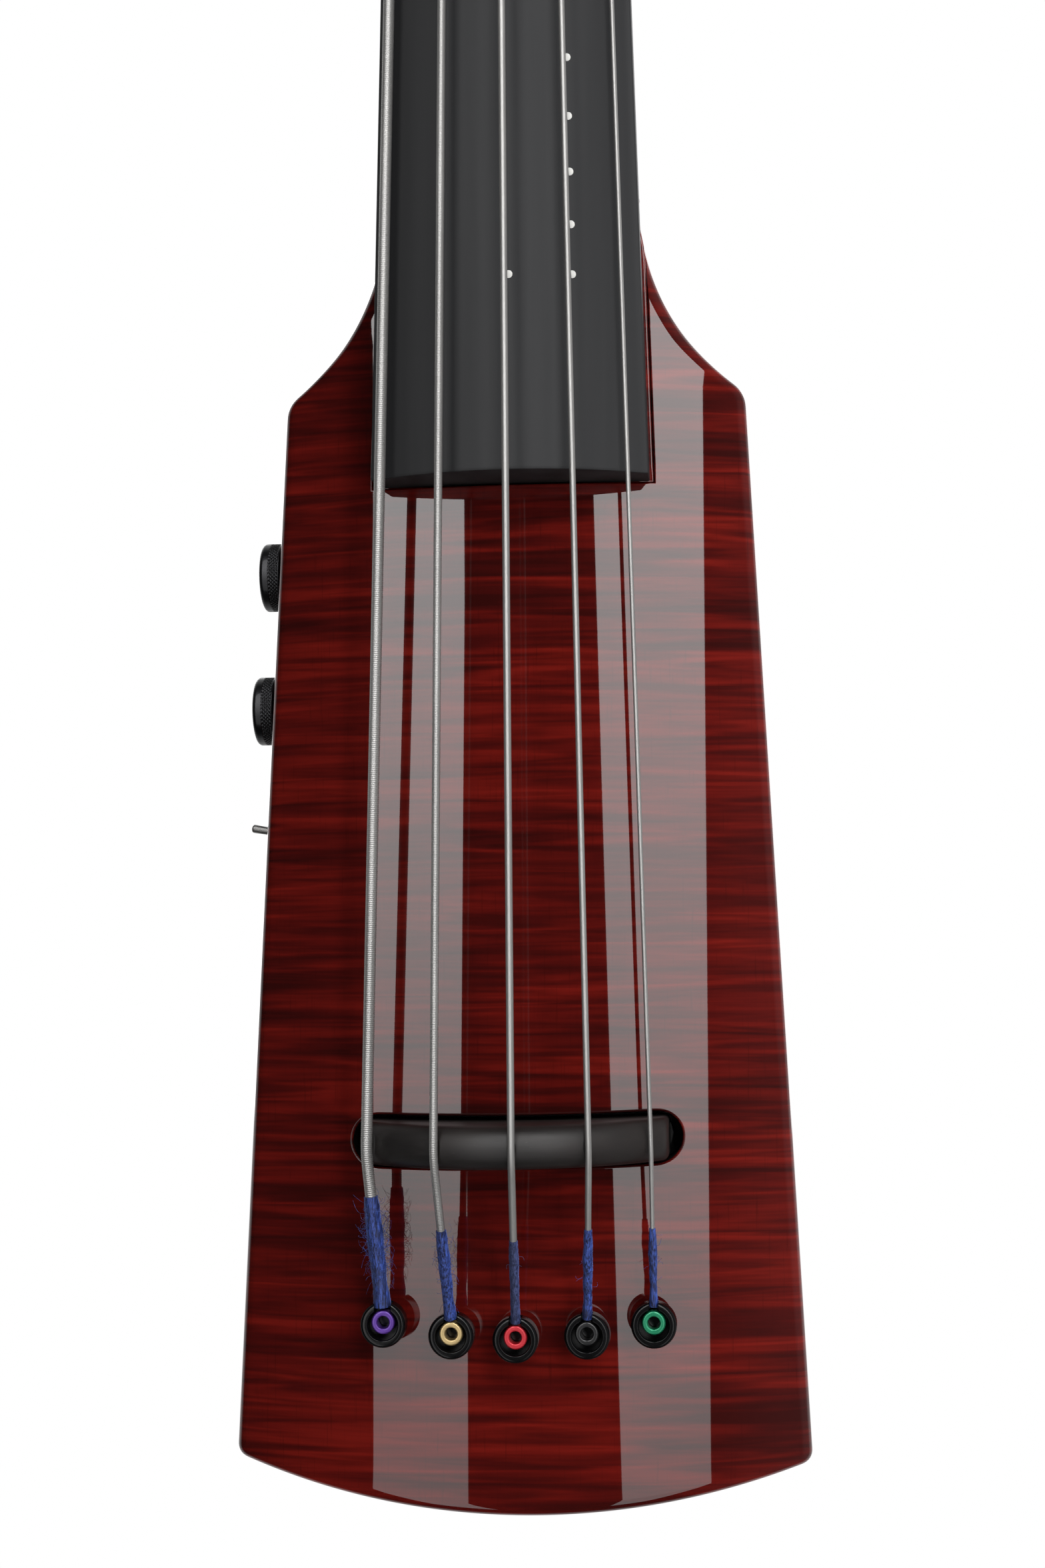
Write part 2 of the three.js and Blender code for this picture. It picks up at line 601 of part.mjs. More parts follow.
function addAnchor(parent, string) {
  const place = anchorPlace(string);
  const { height, capRadius, capHeight, recess, stem, depth } = ANCHOR;
  const { foot, footRadius, underRound, topRound } = ANCHOR;
  const low = height - capHeight;
  const profile = [
    [0, -depth],
    [stem, -depth],
    [stem, foot],
    [footRadius, foot],
    [footRadius, low / 2],
    [capRadius - underRound.across, low],
    [capRadius, low + underRound.along],
    [capRadius, height - topRound],
    [capRadius - topRound, height],
    [0, height],
  ];
  const slotHalf = string.radius + 0.8;
  const floor = height - BALL.sink - BALL.length / 2 - slotHalf;
  const post = cut(
    turned(profile, "y", 18),
    rod(recess, height - BALL.sink - BALL.length - GAP, height + 1, "y", 16),
    box(-slotHalf, slotHalf, -height - 1, -floor, 0, capRadius + 1),
  );
  const mesh = piece(parent, `string_anchor_${string.name}`, post, BLACK_METAL);
  mesh.position.set(place.x, -place.h, place.z);
  const ballTop = height - BALL.sink;
  const ballLow = ballTop - BALL.length;
  const ring = [
    [BALL.hole, ballLow],
    [BALL.radius, ballLow],
    [BALL.radius, ballTop],
    [BALL.hole, ballTop],
  ];
  const ball = turned([...ring, ring[0]], "y", 14);
  const ballMesh = piece(parent, `ball_end_${string.name}`, ball, { color: string.ball, roughness: 0.35 });
  ballMesh.position.set(place.x, -place.h, place.z + BALL.shift);
}

// A string's points from its ball end over the bridge and nut to the winding on its post.
function stringRoute(string, index, neckFrame, headstockFrame) {
  const clearance = string.radius + GAP;
  const place = anchorPlace(string);
  const ballHeight = place.h + ANCHOR.height - BALL.sink - BALL.length / 2;
  const tail = new THREE.Vector3(place.x, -ballHeight, place.z + BALL.shift);
  const ridgeHeight = bridgeHeight(string.bridgeX) + clearance / slopeShare(string.bridgeX, BRIDGE.radius);
  const ridge = new THREE.Vector3(string.bridgeX, -ridgeHeight, BRIDGE.ridgeZ + seatZ(string.bridgeX));
  const nutX = (index - 2) * NUT.spacing + NUT.offset;
  const nutY = -nutHeight(nutX) - clearance / slopeShare(nutX, FINGERBOARD.radius);
  const nutZ = NUT_END - NUT.thickness;
  const nutFront = new THREE.Vector3(nutX, nutY, nutZ).applyMatrix4(neckFrame);
  const nutBack = new THREE.Vector3(nutX, nutY, NUT_END).applyMatrix4(neckFrame);
  const start = tail.clone().add(ridge.clone().sub(tail).setLength(BALL.radius + BALL.stringGap));
  const beforeRidge = ridge.clone().lerp(tail, 0.03);
  const afterRidge = ridge.clone().lerp(nutFront, 0.002);
  const points = [start, beforeRidge, afterRidge, nutFront, nutBack];
  const inward = string.postX < 0 ? 1 : -1;
  const stepsPerTurn = 8;
  const windRadius = (POST.radius + clearance + GAP) / Math.cos(Math.PI / stepsPerTurn);
  const pitch = 0.8 * (2 * string.radius + 0.25);
  for (let step = 0; step <= POST.turns * stepsPerTurn; step += 1) {
    const turn = (step / stepsPerTurn) * Math.PI * 2;
    const height = POST.windHeight - (step / stepsPerTurn - 1) * pitch;
    const x = string.postX + inward * windRadius * Math.cos(turn);
    const z = string.postZ + windRadius * Math.sin(turn);
    points.push(new THREE.Vector3(x, -height, z).applyMatrix4(headstockFrame));
  }
  return points;
}

function addStrings(parent, neckFrame, headstockFrame) {
  STRINGS.forEach((string, index) => {
    addAnchor(parent, string);
    const route = stringRoute(string, index, neckFrame, headstockFrame);
    piece(parent, `string_${string.name}`, tube(route, string.radius), STEEL);
  });
}

// ---------------------------------------------------------------- tuning machines

function keyButton() {
  const { edge, root } = KEY;
  const { start, length, half } = BUTTON;
  const end = start + length;
  const waist = mix(start, end, 0.58);
  const lobe = waist - root;
  const shape = new THREE.Shape();
  shape.moveTo(start, -root);
  shape.bezierCurveTo(start, -half, lobe, -half * 1.2, waist, -half * 0.75);
  shape.bezierCurveTo(end - edge * 4, -half, end, -half * 0.4, end, 0);
  shape.bezierCurveTo(end, half * 0.4, end - edge * 4, half, waist, half * 0.75);
  shape.bezierCurveTo(lobe, half * 1.2, start, half, start, root);
  const depth = KEY.thickness - 2 * edge;
  const options = { depth, bevelThickness: edge, bevelSize: edge, bevelOffset: -edge };
  const button = new THREE.ExtrudeGeometry(shape, { ...options, bevelSegments: 1, curveSegments: 4 });
  return button.translate(0, 0, -depth / 2).rotateX(Math.PI / 2);
}

// A tuning machine in the headstock's frame. side is -1 for the bass side and 1 for the treble side.
function addTuner(headstock, string) {
  const side = Math.sign(string.postX);
  const back = HEADSTOCK.thickness + GAP;
  const gearFront = back + 1;
  const wormOffset = GEAR.radius + WORM.radius + GAP;
  const axisDepth = gearFront + GEAR.thickness / 2;
  const distance = Math.abs(string.postX);
  const { radius, flange, collar, height } = POST;
  const knobEdge = flange - 0.7;
  const post = turned(
    [
      [0, -gearFront - GEAR.thickness],
      [GEAR.radius, -gearFront - GEAR.thickness],
      [GEAR.radius, -gearFront],
      [radius + collar, -gearFront],
      [radius + collar, 0],
      [flange, GAP],
      [flange, 1.5],
      [radius, 3],
      [radius, height - 4],
      [knobEdge, height - 2],
      [knobEdge, height],
      [0, height],
    ],
    "y",
    14,
  );
  const slot = box(-POST_SLOT.half, POST_SLOT.half, -height - 1, POST_SLOT.depth - height, -flange, flange);
  const postMesh = piece(headstock, `tuner_post_${string.name}`, cut(post, slot), BLACK_METAL);
  postMesh.position.set(string.postX, 0, string.postZ);

  const wormHalf = WORM.length / 2;
  const shaft = turned(
    [
      [0, -wormHalf],
      [WORM.radius, -wormHalf],
      [WORM.radius, wormHalf],
      [KEY.shaft, wormHalf],
      [KEY.shaft, BUTTON.start - distance + 2],
      [0, BUTTON.start - distance + 2],
    ],
    "x",
    10,
  );
  const key = join(shaft, keyButton().translate(-distance, 0, 0));
  if (side < 0) key.rotateY(Math.PI);
  const keyMesh = piece(headstock, `tuner_key_${string.name}`, key, BLACK_METAL);
  keyMesh.position.set(string.postX, axisDepth, string.postZ + wormOffset);

  const half = HOUSING.width / 2;
  const { play } = HOUSING;
  const wormRoom = WORM.radius + play;
  const wormEnd = wormHalf + play;
  const farEdge = wormOffset + WORM.radius + HOUSING.margin;
  const outline = roundedRectangle(-half, half, -half + 1, farEdge, HOUSING.corner);
  const shell = frontPlate(outline, -back - HOUSING.depth, -back, HOUSING.round, 1);
  const [shaftLow, shaftHigh] = side < 0 ? [-half - 1, 0] : [0, half + 1];
  const housing = cut(
    shell,
    rod(GEAR.radius + play, -gearFront - GEAR.thickness - play, 0, "y", 14),
    rod(wormRoom, -wormEnd, wormEnd, "x", 10).translate(0, axisDepth, wormOffset),
    box(-wormEnd, wormEnd, 0, axisDepth, wormOffset - wormRoom, wormOffset + wormRoom),
    rod(KEY.shaft + GAP, shaftLow, shaftHigh, "x", 10).translate(0, axisDepth, wormOffset),
  );
  const housingMesh = piece(headstock, `tuner_housing_${string.name}`, housing, BLACK_METAL);
  housingMesh.position.set(string.postX, 0, string.postZ);
}

// ---------------------------------------------------------------- controls

// A control in the bass side wall. Its own frame has +x pointing out of the wall at x = 0.
function wallFrame(parent, z) {
  const frame = new THREE.Group();
  frame.position.set(-sideX(z), -CONTROLS.h, z);
  frame.rotation.z = Math.PI;
  parent.add(frame);
  return frame;
}

function addPotAndKnob(parent, name, z) {
  const frame = wallFrame(parent, z);
  const inner = -CAVITY.wall - 2;
  const pot = turned(
    [
      [0, inner - POT.length],
      [POT.radius, inner - POT.length],
      [POT.radius, inner],
      [POT.bushing, inner],
      [POT.bushing, 0.7],
      [POT.shaft + GAP, 0.7],
      [POT.shaft + GAP, inner],
      [0, inner],
    ],
    "x",
  );
  piece(frame, `${name}_pot`, pot, STEEL);
  const { radius, thickness, standoff } = KNOB;
  const end = standoff + thickness;
  const knob = turned(
    [
      [0, inner + GAP],
      [POT.shaft, inner + GAP],
      [POT.shaft, standoff],
      [radius - 0.6, standoff],
      [radius, standoff + 0.8],
      [radius, end - 2.6],
      [radius - 0.8, end - 1],
      [radius - 2.6, end],
      [0, end],
    ],
    "x",
    24,
  );
  piece(frame, `${name}_knob`, knob, BLACK_METAL);
}

function addSwitch(parent) {
  const frame = wallFrame(parent, CONTROLS.switchZ);
  const inner = -CAVITY.wall - 2;
  const bushing = turned(
    [
      [0, inner - 1],
      [SWITCH.bushing, inner - 1],
      [SWITCH.bushing, SWITCH.reach],
      [SWITCH.bore, SWITCH.reach],
      [SWITCH.bore, -SWITCH.pivotDepth - SWITCH.boreDepth],
      [0, -SWITCH.pivotDepth - SWITCH.boreDepth],
    ],
    "x",
    16,
  );
  const { depth, width, length: caseLength } = SWITCH_CASE;
  const casing = box(inner - depth, inner, -width / 2, width / 2, -caseLength / 2, caseLength / 2);
  piece(frame, "mode_switch", join(bushing, casing), STEEL);
  const { length, ball, neck: neckRadius, tip } = LEVER;
  const lever = turned(
    [
      [0, -ball],
      [ball * 0.7, -ball * 0.7],
      [ball, 0],
      [ball * 0.7, ball * 0.7],
      [neckRadius, ball + 0.4],
      [tip, length - 1],
      [tip * 0.7, length - 0.2],
      [0, length],
    ],
    "x",
    12,
  );
  const mesh = piece(frame, "mode_switch_lever", lever, STEEL);
  mesh.position.x = -SWITCH.pivotDepth;
  mesh.rotation.y = -THREE.MathUtils.degToRad(LEVER.tilt);
}

function addJack(parent) {
  const frame = wallFrame(parent, CONTROLS.jackZ);
  const { flange, flangeThickness, proud, barrel, length } = JACK;
  const { radius, depth } = JACK_SOCKET;
  const jack = turned(
    [
      [0, -length],
      [barrel, -length],
      [barrel, proud - flangeThickness],
      [flange, proud - flangeThickness],
      [flange, proud],
      [radius, proud],
      [radius, proud - depth],
      [0, proud - depth],
    ],
    "x",
    16,
  );
  piece(frame, "output_jack", jack, STEEL);
}

function addLeads(parent) {
  const look = { color: 0x101010, roughness: 0.7 };
  const pickupStart = SLOT.width / 2;
  const pickup = rod(LEAD.radius, pickupStart, PICKUP_LEAD.end, "z", 8);
  piece(parent, "pickup_lead", pickup.translate(PICKUP_LEAD.x, -PICKUP_LEAD.h, 0), look);
  const jack = rod(LEAD.radius, JACK_LEAD.start, JACK_LEAD.end, "z", 8);
  piece(parent, "jack_lead", jack.translate(JACK_LEAD.x, -CONTROLS.h, 0), look);
}

// ---------------------------------------------------------------- back: cover and stand plate

function addScrew(parent, name, screw, x, z, face) {
  const { radius, head, headDepth, length } = screw;
  const profile = [
    [0, face],
    [head, face],
    [head, face + SCREW_RIM],
    [radius, face + headDepth],
    [radius, face + length],
    [0, face + length],
  ];
  piece(parent, name, turned(profile, "y", 12).translate(x, 0, z), BLACK_METAL);
}

function screwSeat(screw, x, z, face) {
  const profile = [
    [0, face - 1],
    [screw.head + GAP, face - 1],
    [screw.head + GAP, face + SCREW_RIM],
    [screw.radius + GAP, face + screw.headDepth + GAP],
    [screw.radius + GAP, face + screw.length],
    [0, face + screw.length],
  ];
  return turned(profile, "y", 12).translate(x, 0, z);
}

function plateOutline(grow) {
  const half = PLATE.width / 2 + grow;
  const rise = PLATE.height / 2 + grow;
  return roundedRectangle(-half, half, PLATE.z - rise, PLATE.z + rise, PLATE.corner);
}

function addBack(parent) {
  const coverFace = -BODY.depth;
  const cover = frontPlate(cavityOutline(CAVITY.lip - GAP), coverFace, coverFace + CAVITY.cover - GAP);
  const coverHead = coverFace + SCREW_SINK;
  const coverSeats = COVER_SCREWS.map(([x, z]) => screwSeat(COVER_SCREW, x, z, coverHead));
  piece(parent, "control_cover", cut(cover, ...coverSeats), { color: 0x161616, roughness: 0.5 });
  COVER_SCREWS.forEach(([x, z], i) => {
    addScrew(parent, `cover_screw_${i + 1}`, COVER_SCREW, x, z, coverHead);
  });

  const plateFace = -BODY.depth - PLATE.proud;
  const plate = frontPlate(plateOutline(0), plateFace, plateFace + PLATE.thickness);
  const plateHead = plateFace + SCREW_SINK;
  const seats = PLATE_SCREWS.map(([x, z]) => screwSeat(PLATE_SCREW, x, z, plateHead));
  const bolts = [-1, 1].map((side) => {
    const hole = rod(STAND_BOLT.radius, plateFace - 1, plateFace + PLATE.thickness + 1, "y", 16);
    return hole.translate(side * STAND_BOLT.x, 0, PLATE.z);
  });
  piece(parent, "stand_plate", cut(plate, ...seats, ...bolts), BLACK_METAL);
  PLATE_SCREWS.forEach(([x, z], i) => {
    addScrew(parent, `plate_screw_${i + 1}`, PLATE_SCREW, x, z, plateHead);
  });
}

// ---------------------------------------------------------------- assembly

const bass = new THREE.Group();
const instrument = new THREE.Group();
instrument.position.set(0, -BODY.depth - PLATE.proud, -PLATE.z);
bass.add(instrument);

const neck = new THREE.Group();
neck.position.set(0, -FINGERBOARD.base, FINGERBOARD.end);
neck.rotation.x = NECK_ANGLE;
neck.updateMatrix();
instrument.add(neck);

const headstock = new THREE.Group();
headstock.position.set(0, HEADSTOCK.setback, NUT_END);
headstock.rotation.x = -THREE.MathUtils.degToRad(HEADSTOCK.angle);
headstock.updateMatrix();
neck.add(headstock);

const headstockInInstrument = new THREE.Matrix4().multiplyMatrices(neck.matrix, headstock.matrix);
const outlineInNeck = frontPlate(bodyOutline(), -BODY.depth, 60).applyMatrix4(neck.matrix.clone().invert());

addBody(instrument, neck.matrix);
addNeck(neck, headstock.matrix, outlineInNeck);
addFingerboard(neck);
addNut(neck);
addTrussRod(neck);
addTrussRodCover(headstock);
addBridge(instrument);
addPickup(instrument);
addStrings(instrument, neck.matrix, headstockInInstrument);
for (const string of STRINGS) addTuner(headstock, string);
addPotAndKnob(instrument, "volume", CONTROLS.volumeZ);
addPotAndKnob(instrument, "tone", CONTROLS.toneZ);
addSwitch(instrument);
addJack(instrument);
addLeads(instrument);
addBack(instrument);

export default bass;
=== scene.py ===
"""The looks of the electric upright bass: fine pieces, materials, lights and camera.

Shapes are written in millimetres in three frames, which the matrices below carry to the row frame.
Instrument frame: x to the treble side, z up the strings with z = 0 under the bridge's ridge, and y
into the back with y = 0 at the rim of the top, so a height h in front of the rim is y = -h.
Neck frame: the fingerboard's bottom plane. Headstock frame: the headstock's front face.
"""

import math
import random
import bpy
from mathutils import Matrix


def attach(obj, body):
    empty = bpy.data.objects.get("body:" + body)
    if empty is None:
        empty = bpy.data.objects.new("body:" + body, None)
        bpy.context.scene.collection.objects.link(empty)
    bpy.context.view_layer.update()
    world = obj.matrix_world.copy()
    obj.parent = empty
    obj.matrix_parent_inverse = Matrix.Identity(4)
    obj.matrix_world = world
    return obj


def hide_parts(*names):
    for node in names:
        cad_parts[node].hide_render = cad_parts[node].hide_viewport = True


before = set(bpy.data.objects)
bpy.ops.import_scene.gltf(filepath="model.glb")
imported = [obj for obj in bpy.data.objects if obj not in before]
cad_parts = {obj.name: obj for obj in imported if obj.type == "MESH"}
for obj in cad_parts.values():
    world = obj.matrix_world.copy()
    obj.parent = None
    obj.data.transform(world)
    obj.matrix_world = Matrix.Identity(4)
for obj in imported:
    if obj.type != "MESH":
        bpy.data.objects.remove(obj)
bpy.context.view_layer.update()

from types import SimpleNamespace as Sizes

import bmesh
import bpy
from mathutils import Matrix, Vector
from mathutils.bvhtree import BVHTree
from mathutils.geometry import delaunay_2d_cdt
from mathutils.interpolate import poly_3d_calc

ROOT = "instrument"
GAP = 0.3
SCALE_LENGTH = 1060

BODY = Sizes(bottom=-114.3, bottom_radius=275, low_half=89.3, low_z=-95, high_half=74.2, high_z=230,
             top=292, top_half=41.5, depth=40, crown=13, crown_radius=320, scoop_start=222,
             scoop_depth=22, back_round=3)
BOARD = Sizes(end=204, length=856, half_end=43.5, half_nut=22, base=9.4, base_nut=36.5, crown_end=24.6,
              crown_nut=10.1, radius=84)
NECK_ANGLE = math.atan((BOARD.base_nut - BOARD.base) / BOARD.length)
NECK_LENGTH = BOARD.length / math.cos(NECK_ANGLE)
NUT = Sizes(thickness=7, lift=1.2, spacing=9.5, offset=-0.5)
NUT_END = NECK_LENGTH + GAP + NUT.thickness
HEEL = Sizes(ledge=1.2, end=0.2, slab=3)
HEADSTOCK = Sizes(angle=12, thickness=18, length=196, setback=2, corner=16, edge_round=1.7)
SLOT = Sizes(length=102.4, width=16, floor=-16)
BRIDGE = Sizes(length=94, thickness=13, crown=41.9, radius=65, foot=-4, round=5.2, ridge_z=-2.8,
               screw_x=34)
SEAT = Sizes(shift=-0.9, slant=0.0118, bow=1.1)
ANCHOR = Sizes(z=-60, bow=420, height=11.5, foot=1, foot_radius=4.4, cap_radius=6.85, cap_height=8,
               recess=4.6, recess_depth=6.6, stem=3, depth=20)
BALL = Sizes(radius=3.55, hole=1.85, length=5.5, sink=0.8, shift=0.7, string_gap=1.2)
POST = Sizes(radius=4.5, flange=6.5, collar=0.6, height=19, wind_height=9.8, turns=2.5, slot=1.1,
             slot_depth=5)
GEAR = Sizes(radius=8, thickness=5, front=HEADSTOCK.thickness + GAP + 1)
WORM = Sizes(radius=3, length=10, tooth=0.45, pitch=1.7)
WORM_DEPTH = GEAR.front + GEAR.thickness / 2
WORM_OFFSET = GEAR.radius + WORM.radius + GAP
HOUSING = Sizes(width=24, depth=9.5, corner=4, margin=3)
BUTTON = Sizes(start=46, length=24, half=13, thickness=5.5, edge=2.2)
CONTROLS = Sizes(h=-20, volume=181.5, tone=136.8, switch=96.2, jack=27)
KNOB = Sizes(radius=11.25, thickness=7.2, standoff=2.2, diamonds=56, rise=1.2, cut=0.34, around=448,
             rows=34)
LEVER = Sizes(length=10.5, tilt=10, ball=1.6, neck=1.15, tip=1.35)
# The control cavity: its ends along z and its inner side.
CAVITY_ROOM = Sizes(low=86, high=201, inner=-24, corner=5)
# The wall between the body's side and the control cavity, and the width and depth of the cover's seat.
WALL = 8.5
LEDGE = 3
PLATE = Sizes(z=45, width=70, height=50, thickness=5, proud=2, corner=6)
BOLT = Sizes(x=18, radius=4)
# pitch is the winding's, silk the z at which the silk ends, swell how far the silk stands out, and fuzz
# how many loose fibres it has.
STRINGS = [
    Sizes(name="b", radius=1.8, bridge=-44, anchor=-40, post=(-27, 48), pitch=0.63, silk=-17.4,
          swell=0.62, fuzz=260, ball="purple"),
    Sizes(name="e", radius=1.3, bridge=-22, anchor=-19, post=(-23, 94), pitch=0.5, silk=-26.8,
          swell=0.45, fuzz=90, ball="brass"),
    Sizes(name="a", radius=1.1, bridge=1.5, anchor=0.5, post=(-19, 140), pitch=0.44, silk=-29.5,
          swell=0.25, fuzz=6, ball="red"),
    Sizes(name="d", radius=0.95, bridge=24, anchor=22, post=(23, 117), pitch=0.38, silk=-26.4,
          swell=0.42, fuzz=10, ball="black"),
    Sizes(name="g", radius=0.7, bridge=42, anchor=42, post=(27, 71), pitch=0.32, silk=-26.8,
          swell=0.5, fuzz=10, ball="green"),
]
# nut is where the string crosses the nut, and side the side of the headstock its tuner is on.
for number, each in enumerate(STRINGS):
    each.nut = (number - 2) * NUT.spacing + NUT.offset
    each.side = 1 if each.post[0] > 0 else -1
    each.ridged = each.name in "be"

INSTRUMENT = Matrix.Scale(0.001, 4) @ Matrix.Translation((0, -BODY.depth - PLATE.proud, -PLATE.z))
NECK = INSTRUMENT @ Matrix.Translation((0, -BOARD.base, BOARD.end)) @ Matrix.Rotation(NECK_ANGLE, 4, "X")
HEAD = (
    NECK
    @ Matrix.Translation((0, HEADSTOCK.setback, NUT_END))
    @ Matrix.Rotation(-math.radians(HEADSTOCK.angle), 4, "X")
)


# ---------------------------------------------------------------- small formulas

def mix(a, b, share):
    return a + (b - a) * share


def smooth(t):
    t = min(max(t, 0), 1)
    return t * t * (3 - 2 * t)


def drop(x, radius):
    """How far an arc falls from its crown at a distance x from the middle."""
    return radius - math.sqrt(radius * radius - x * x)


def lifted(x, radius, clearance):
    """How much higher a round string's middle lies than an arch, with clearance between them."""
    return clearance / math.sqrt(1 - (x / radius) ** 2)


def side_x(z):
    """Half the body's width along its straight side."""
    slope = (BODY.low_half - BODY.high_half) / (BODY.high_z - BODY.low_z)
    return BODY.high_half + (BODY.high_z - z) * slope


def top_height(x):
    return BODY.crown - drop(x, BODY.crown_radius)


def board_half(along):
    return mix(BOARD.half_end, BOARD.half_nut, along / BOARD.length)


def seat_z(x):
    """How far the bridge's seat lies along z at a given x: shifted, slanted and slightly bowed."""
    return SEAT.shift + SEAT.slant * x - SEAT.bow * (1 - (2 * x / SLOT.length) ** 2)


def bridge_height(x):
    return BRIDGE.crown - drop(x, BRIDGE.radius)


def nut_height(x):
    return BOARD.crown_nut + NUT.lift - drop(x, BOARD.radius)


# ---------------------------------------------------------------- outlines and paths

def mirrored(points):
    """The same points on the other side of x = 0, in the opposite order."""
    return [(-x, z) for x, z in reversed(points)]


def line(a, b, steps):
    return [tuple(mix(p, q, k / steps) for p, q in zip(a, b)) for k in range(1, steps + 1)]


def quadratic(a, b, c, steps):
    """Points of a quadratic curve after its start a."""
    out = []
    for k in range(1, steps + 1):
        t = k / steps
        out.append(tuple((1 - t) ** 2 * p + 2 * t * (1 - t) * q + t * t * r for p, q, r in zip(a, b, c)))
    return out


def rounded_rectangle(x0, x1, z0, z1, radius, steps=8):
    out = []
    for cx, cz, turn in ((x1, z0, -90), (x1, z1, 0), (x0, z1, 90), (x0, z0, 180)):
        mx = cx - radius if cx == x1 else cx + radius
        mz = cz - radius if cz == z1 else cz + radius
        for k in range(steps + 1):
            a = math.radians(turn + 90 * k / steps)
            out.append((mx + radius * math.cos(a), mz + radius * math.sin(a)))
    return out


def fillet(points, steps=5):
    """A path with its corners rounded. Points are (a, b) or (a, b, radius)."""
    out = []
    for i, point in enumerate(points):
        radius = point[2] if len(point) > 2 else 0
        if not radius or i in (0, len(points) - 1):
            out.append(point[:2])
            continue
        corner = Vector(point[:2])
        before = Vector(points[i - 1][:2]) - corner
        after = Vector(points[i + 1][:2]) - corner
        half = before.angle(after) / 2
        reach = min(radius / math.tan(half), before.length * 0.49, after.length * 0.49)
        start = corner + before.normalized() * reach
        end = corner + after.normalized() * reach
        centre = corner + (before.normalized() + after.normalized()).normalized() * (reach / math.cos(half))
        u, v = start - centre, end - centre
        sweep = u.angle(v)
        for k in range(steps + 1):
            t = k / steps
            p = (u * math.sin((1 - t) * sweep) + v * math.sin(t * sweep)) / math.sin(sweep)
            out.append(tuple(centre + p))
    return out


def normals_2d(outline):
    """Outward normals of a closed outline that runs anticlockwise in x and z."""
    out = []
    for i in range(len(outline)):
        along = (Vector(outline[(i + 1) % len(outline)]) - Vector(outline[i - 1])).normalized()
        out.append(Vector((along.y, -along.x)))
    return out


def inside(x, z, outline):
    hit = False
    for (xj, zj), (xi, zi) in zip([outline[-1], *outline], outline):
        if (zi > z) != (zj > z) and x < (xj - xi) * (z - zi) / (zj - zi) + xi:
            hit = not hit
    return hit


def spaced(points, step):
    """Points along a path at even steps."""
    out = [points[0]]
    left = step
    for a, b in zip(points, points[1:]):
        span = (b - a).length
        at = left
        while at <= span:
            out.append(a.lerp(b, at / span))
            at += step
        left = at - span
    out.append(points[-1])
    return out


# ---------------------------------------------------------------- meshes: each is (verts, faces)

def rings_mesh(rings, closed=False, caps=True):
    """Faces through rings of equal count. A ring of one point is a pole."""
    verts, starts = [], []
    for ring in rings:
        starts.append(len(verts))
        verts.extend(ring)
    faces = []
    pairs = list(zip(range(len(rings) - 1), range(1, len(rings))))
    if closed:
        pairs.append((len(rings) - 1, 0))
    for i, j in pairs:
        count = max(len(rings[i]), len(rings[j]))
        for k in range(count):
            m = (k + 1) % count
            near = [starts[i] + k, starts[i] + m] if len(rings[i]) > 1 else [starts[i]]
            far = [starts[j] + m, starts[j] + k] if len(rings[j]) > 1 else [starts[j]]
            faces.append(near + far)
    if caps and not closed:
        for i in (0, len(rings) - 1):
            if len(rings[i]) > 1:
                faces.append([starts[i] + k for k in range(len(rings[i]))])
    return verts, faces


def turned(profile, axis, segments=48, centre=(0, 0, 0)):
    """A round bar. profile lists (radius, distance), and the distance runs along +x, -y or +z."""
    rings = []
    for radius, along in profile:
        ring = []
        for k in range(1 if radius < 1e-6 else segments):
            turn = 2 * math.pi * k / segments
            c, s = radius * math.cos(turn), radius * math.sin(turn)
            point = {"x": (along, c, s), "y": (c, -along, s), "z": (c, s, along)}[axis]
            ring.append(tuple(p + q for p, q in zip(point, centre)))
        rings.append(ring)
    same = profile[0] == profile[-1]
    return rings_mesh(rings[:-1] if same else rings, closed=same)


def tube(points, radii, sides=12):
    """A round tube through points, with no twist."""
    rings = []
    side = None
    for i, point in enumerate(points):
        ahead = (points[min(i + 1, len(points) - 1)] - points[max(i - 1, 0)]).normalized()
        if side is None:
            side = ahead.orthogonal().normalized()
        side = (side - ahead * side.dot(ahead)).normalized()
        other = ahead.cross(side)
        radius = radii[i] if isinstance(radii, list) else radii
        turns = [2 * math.pi * k / sides for k in range(sides)]
        rings.append([point + (side * math.cos(t) + other * math.sin(t)) * radius for t in turns])
    return rings_mesh(rings)


def block(x0, x1, y0, y1, z0, z1):
    return rings_mesh([[(x0, y0, z), (x1, y0, z), (x1, y1, z), (x0, y1, z)] for z in (z0, z1)])


def prism(outline, low, high):
    """An outline in x and z between two heights."""
    return rings_mesh([[(x, -h, z) for x, z in outline] for h in (low, high)])


def joined(*parts):
    """Several (verts, faces) as one."""
    verts, faces = [], []
    for part_verts, part_faces in parts:
        base = len(verts)
        verts.extend(part_verts)
        faces.extend([[base + i for i in face] for face in part_faces])
    return verts, faces


def field(value):
    """A function of x and z, from itself or from a number."""
    return value if callable(value) else lambda x, z: value


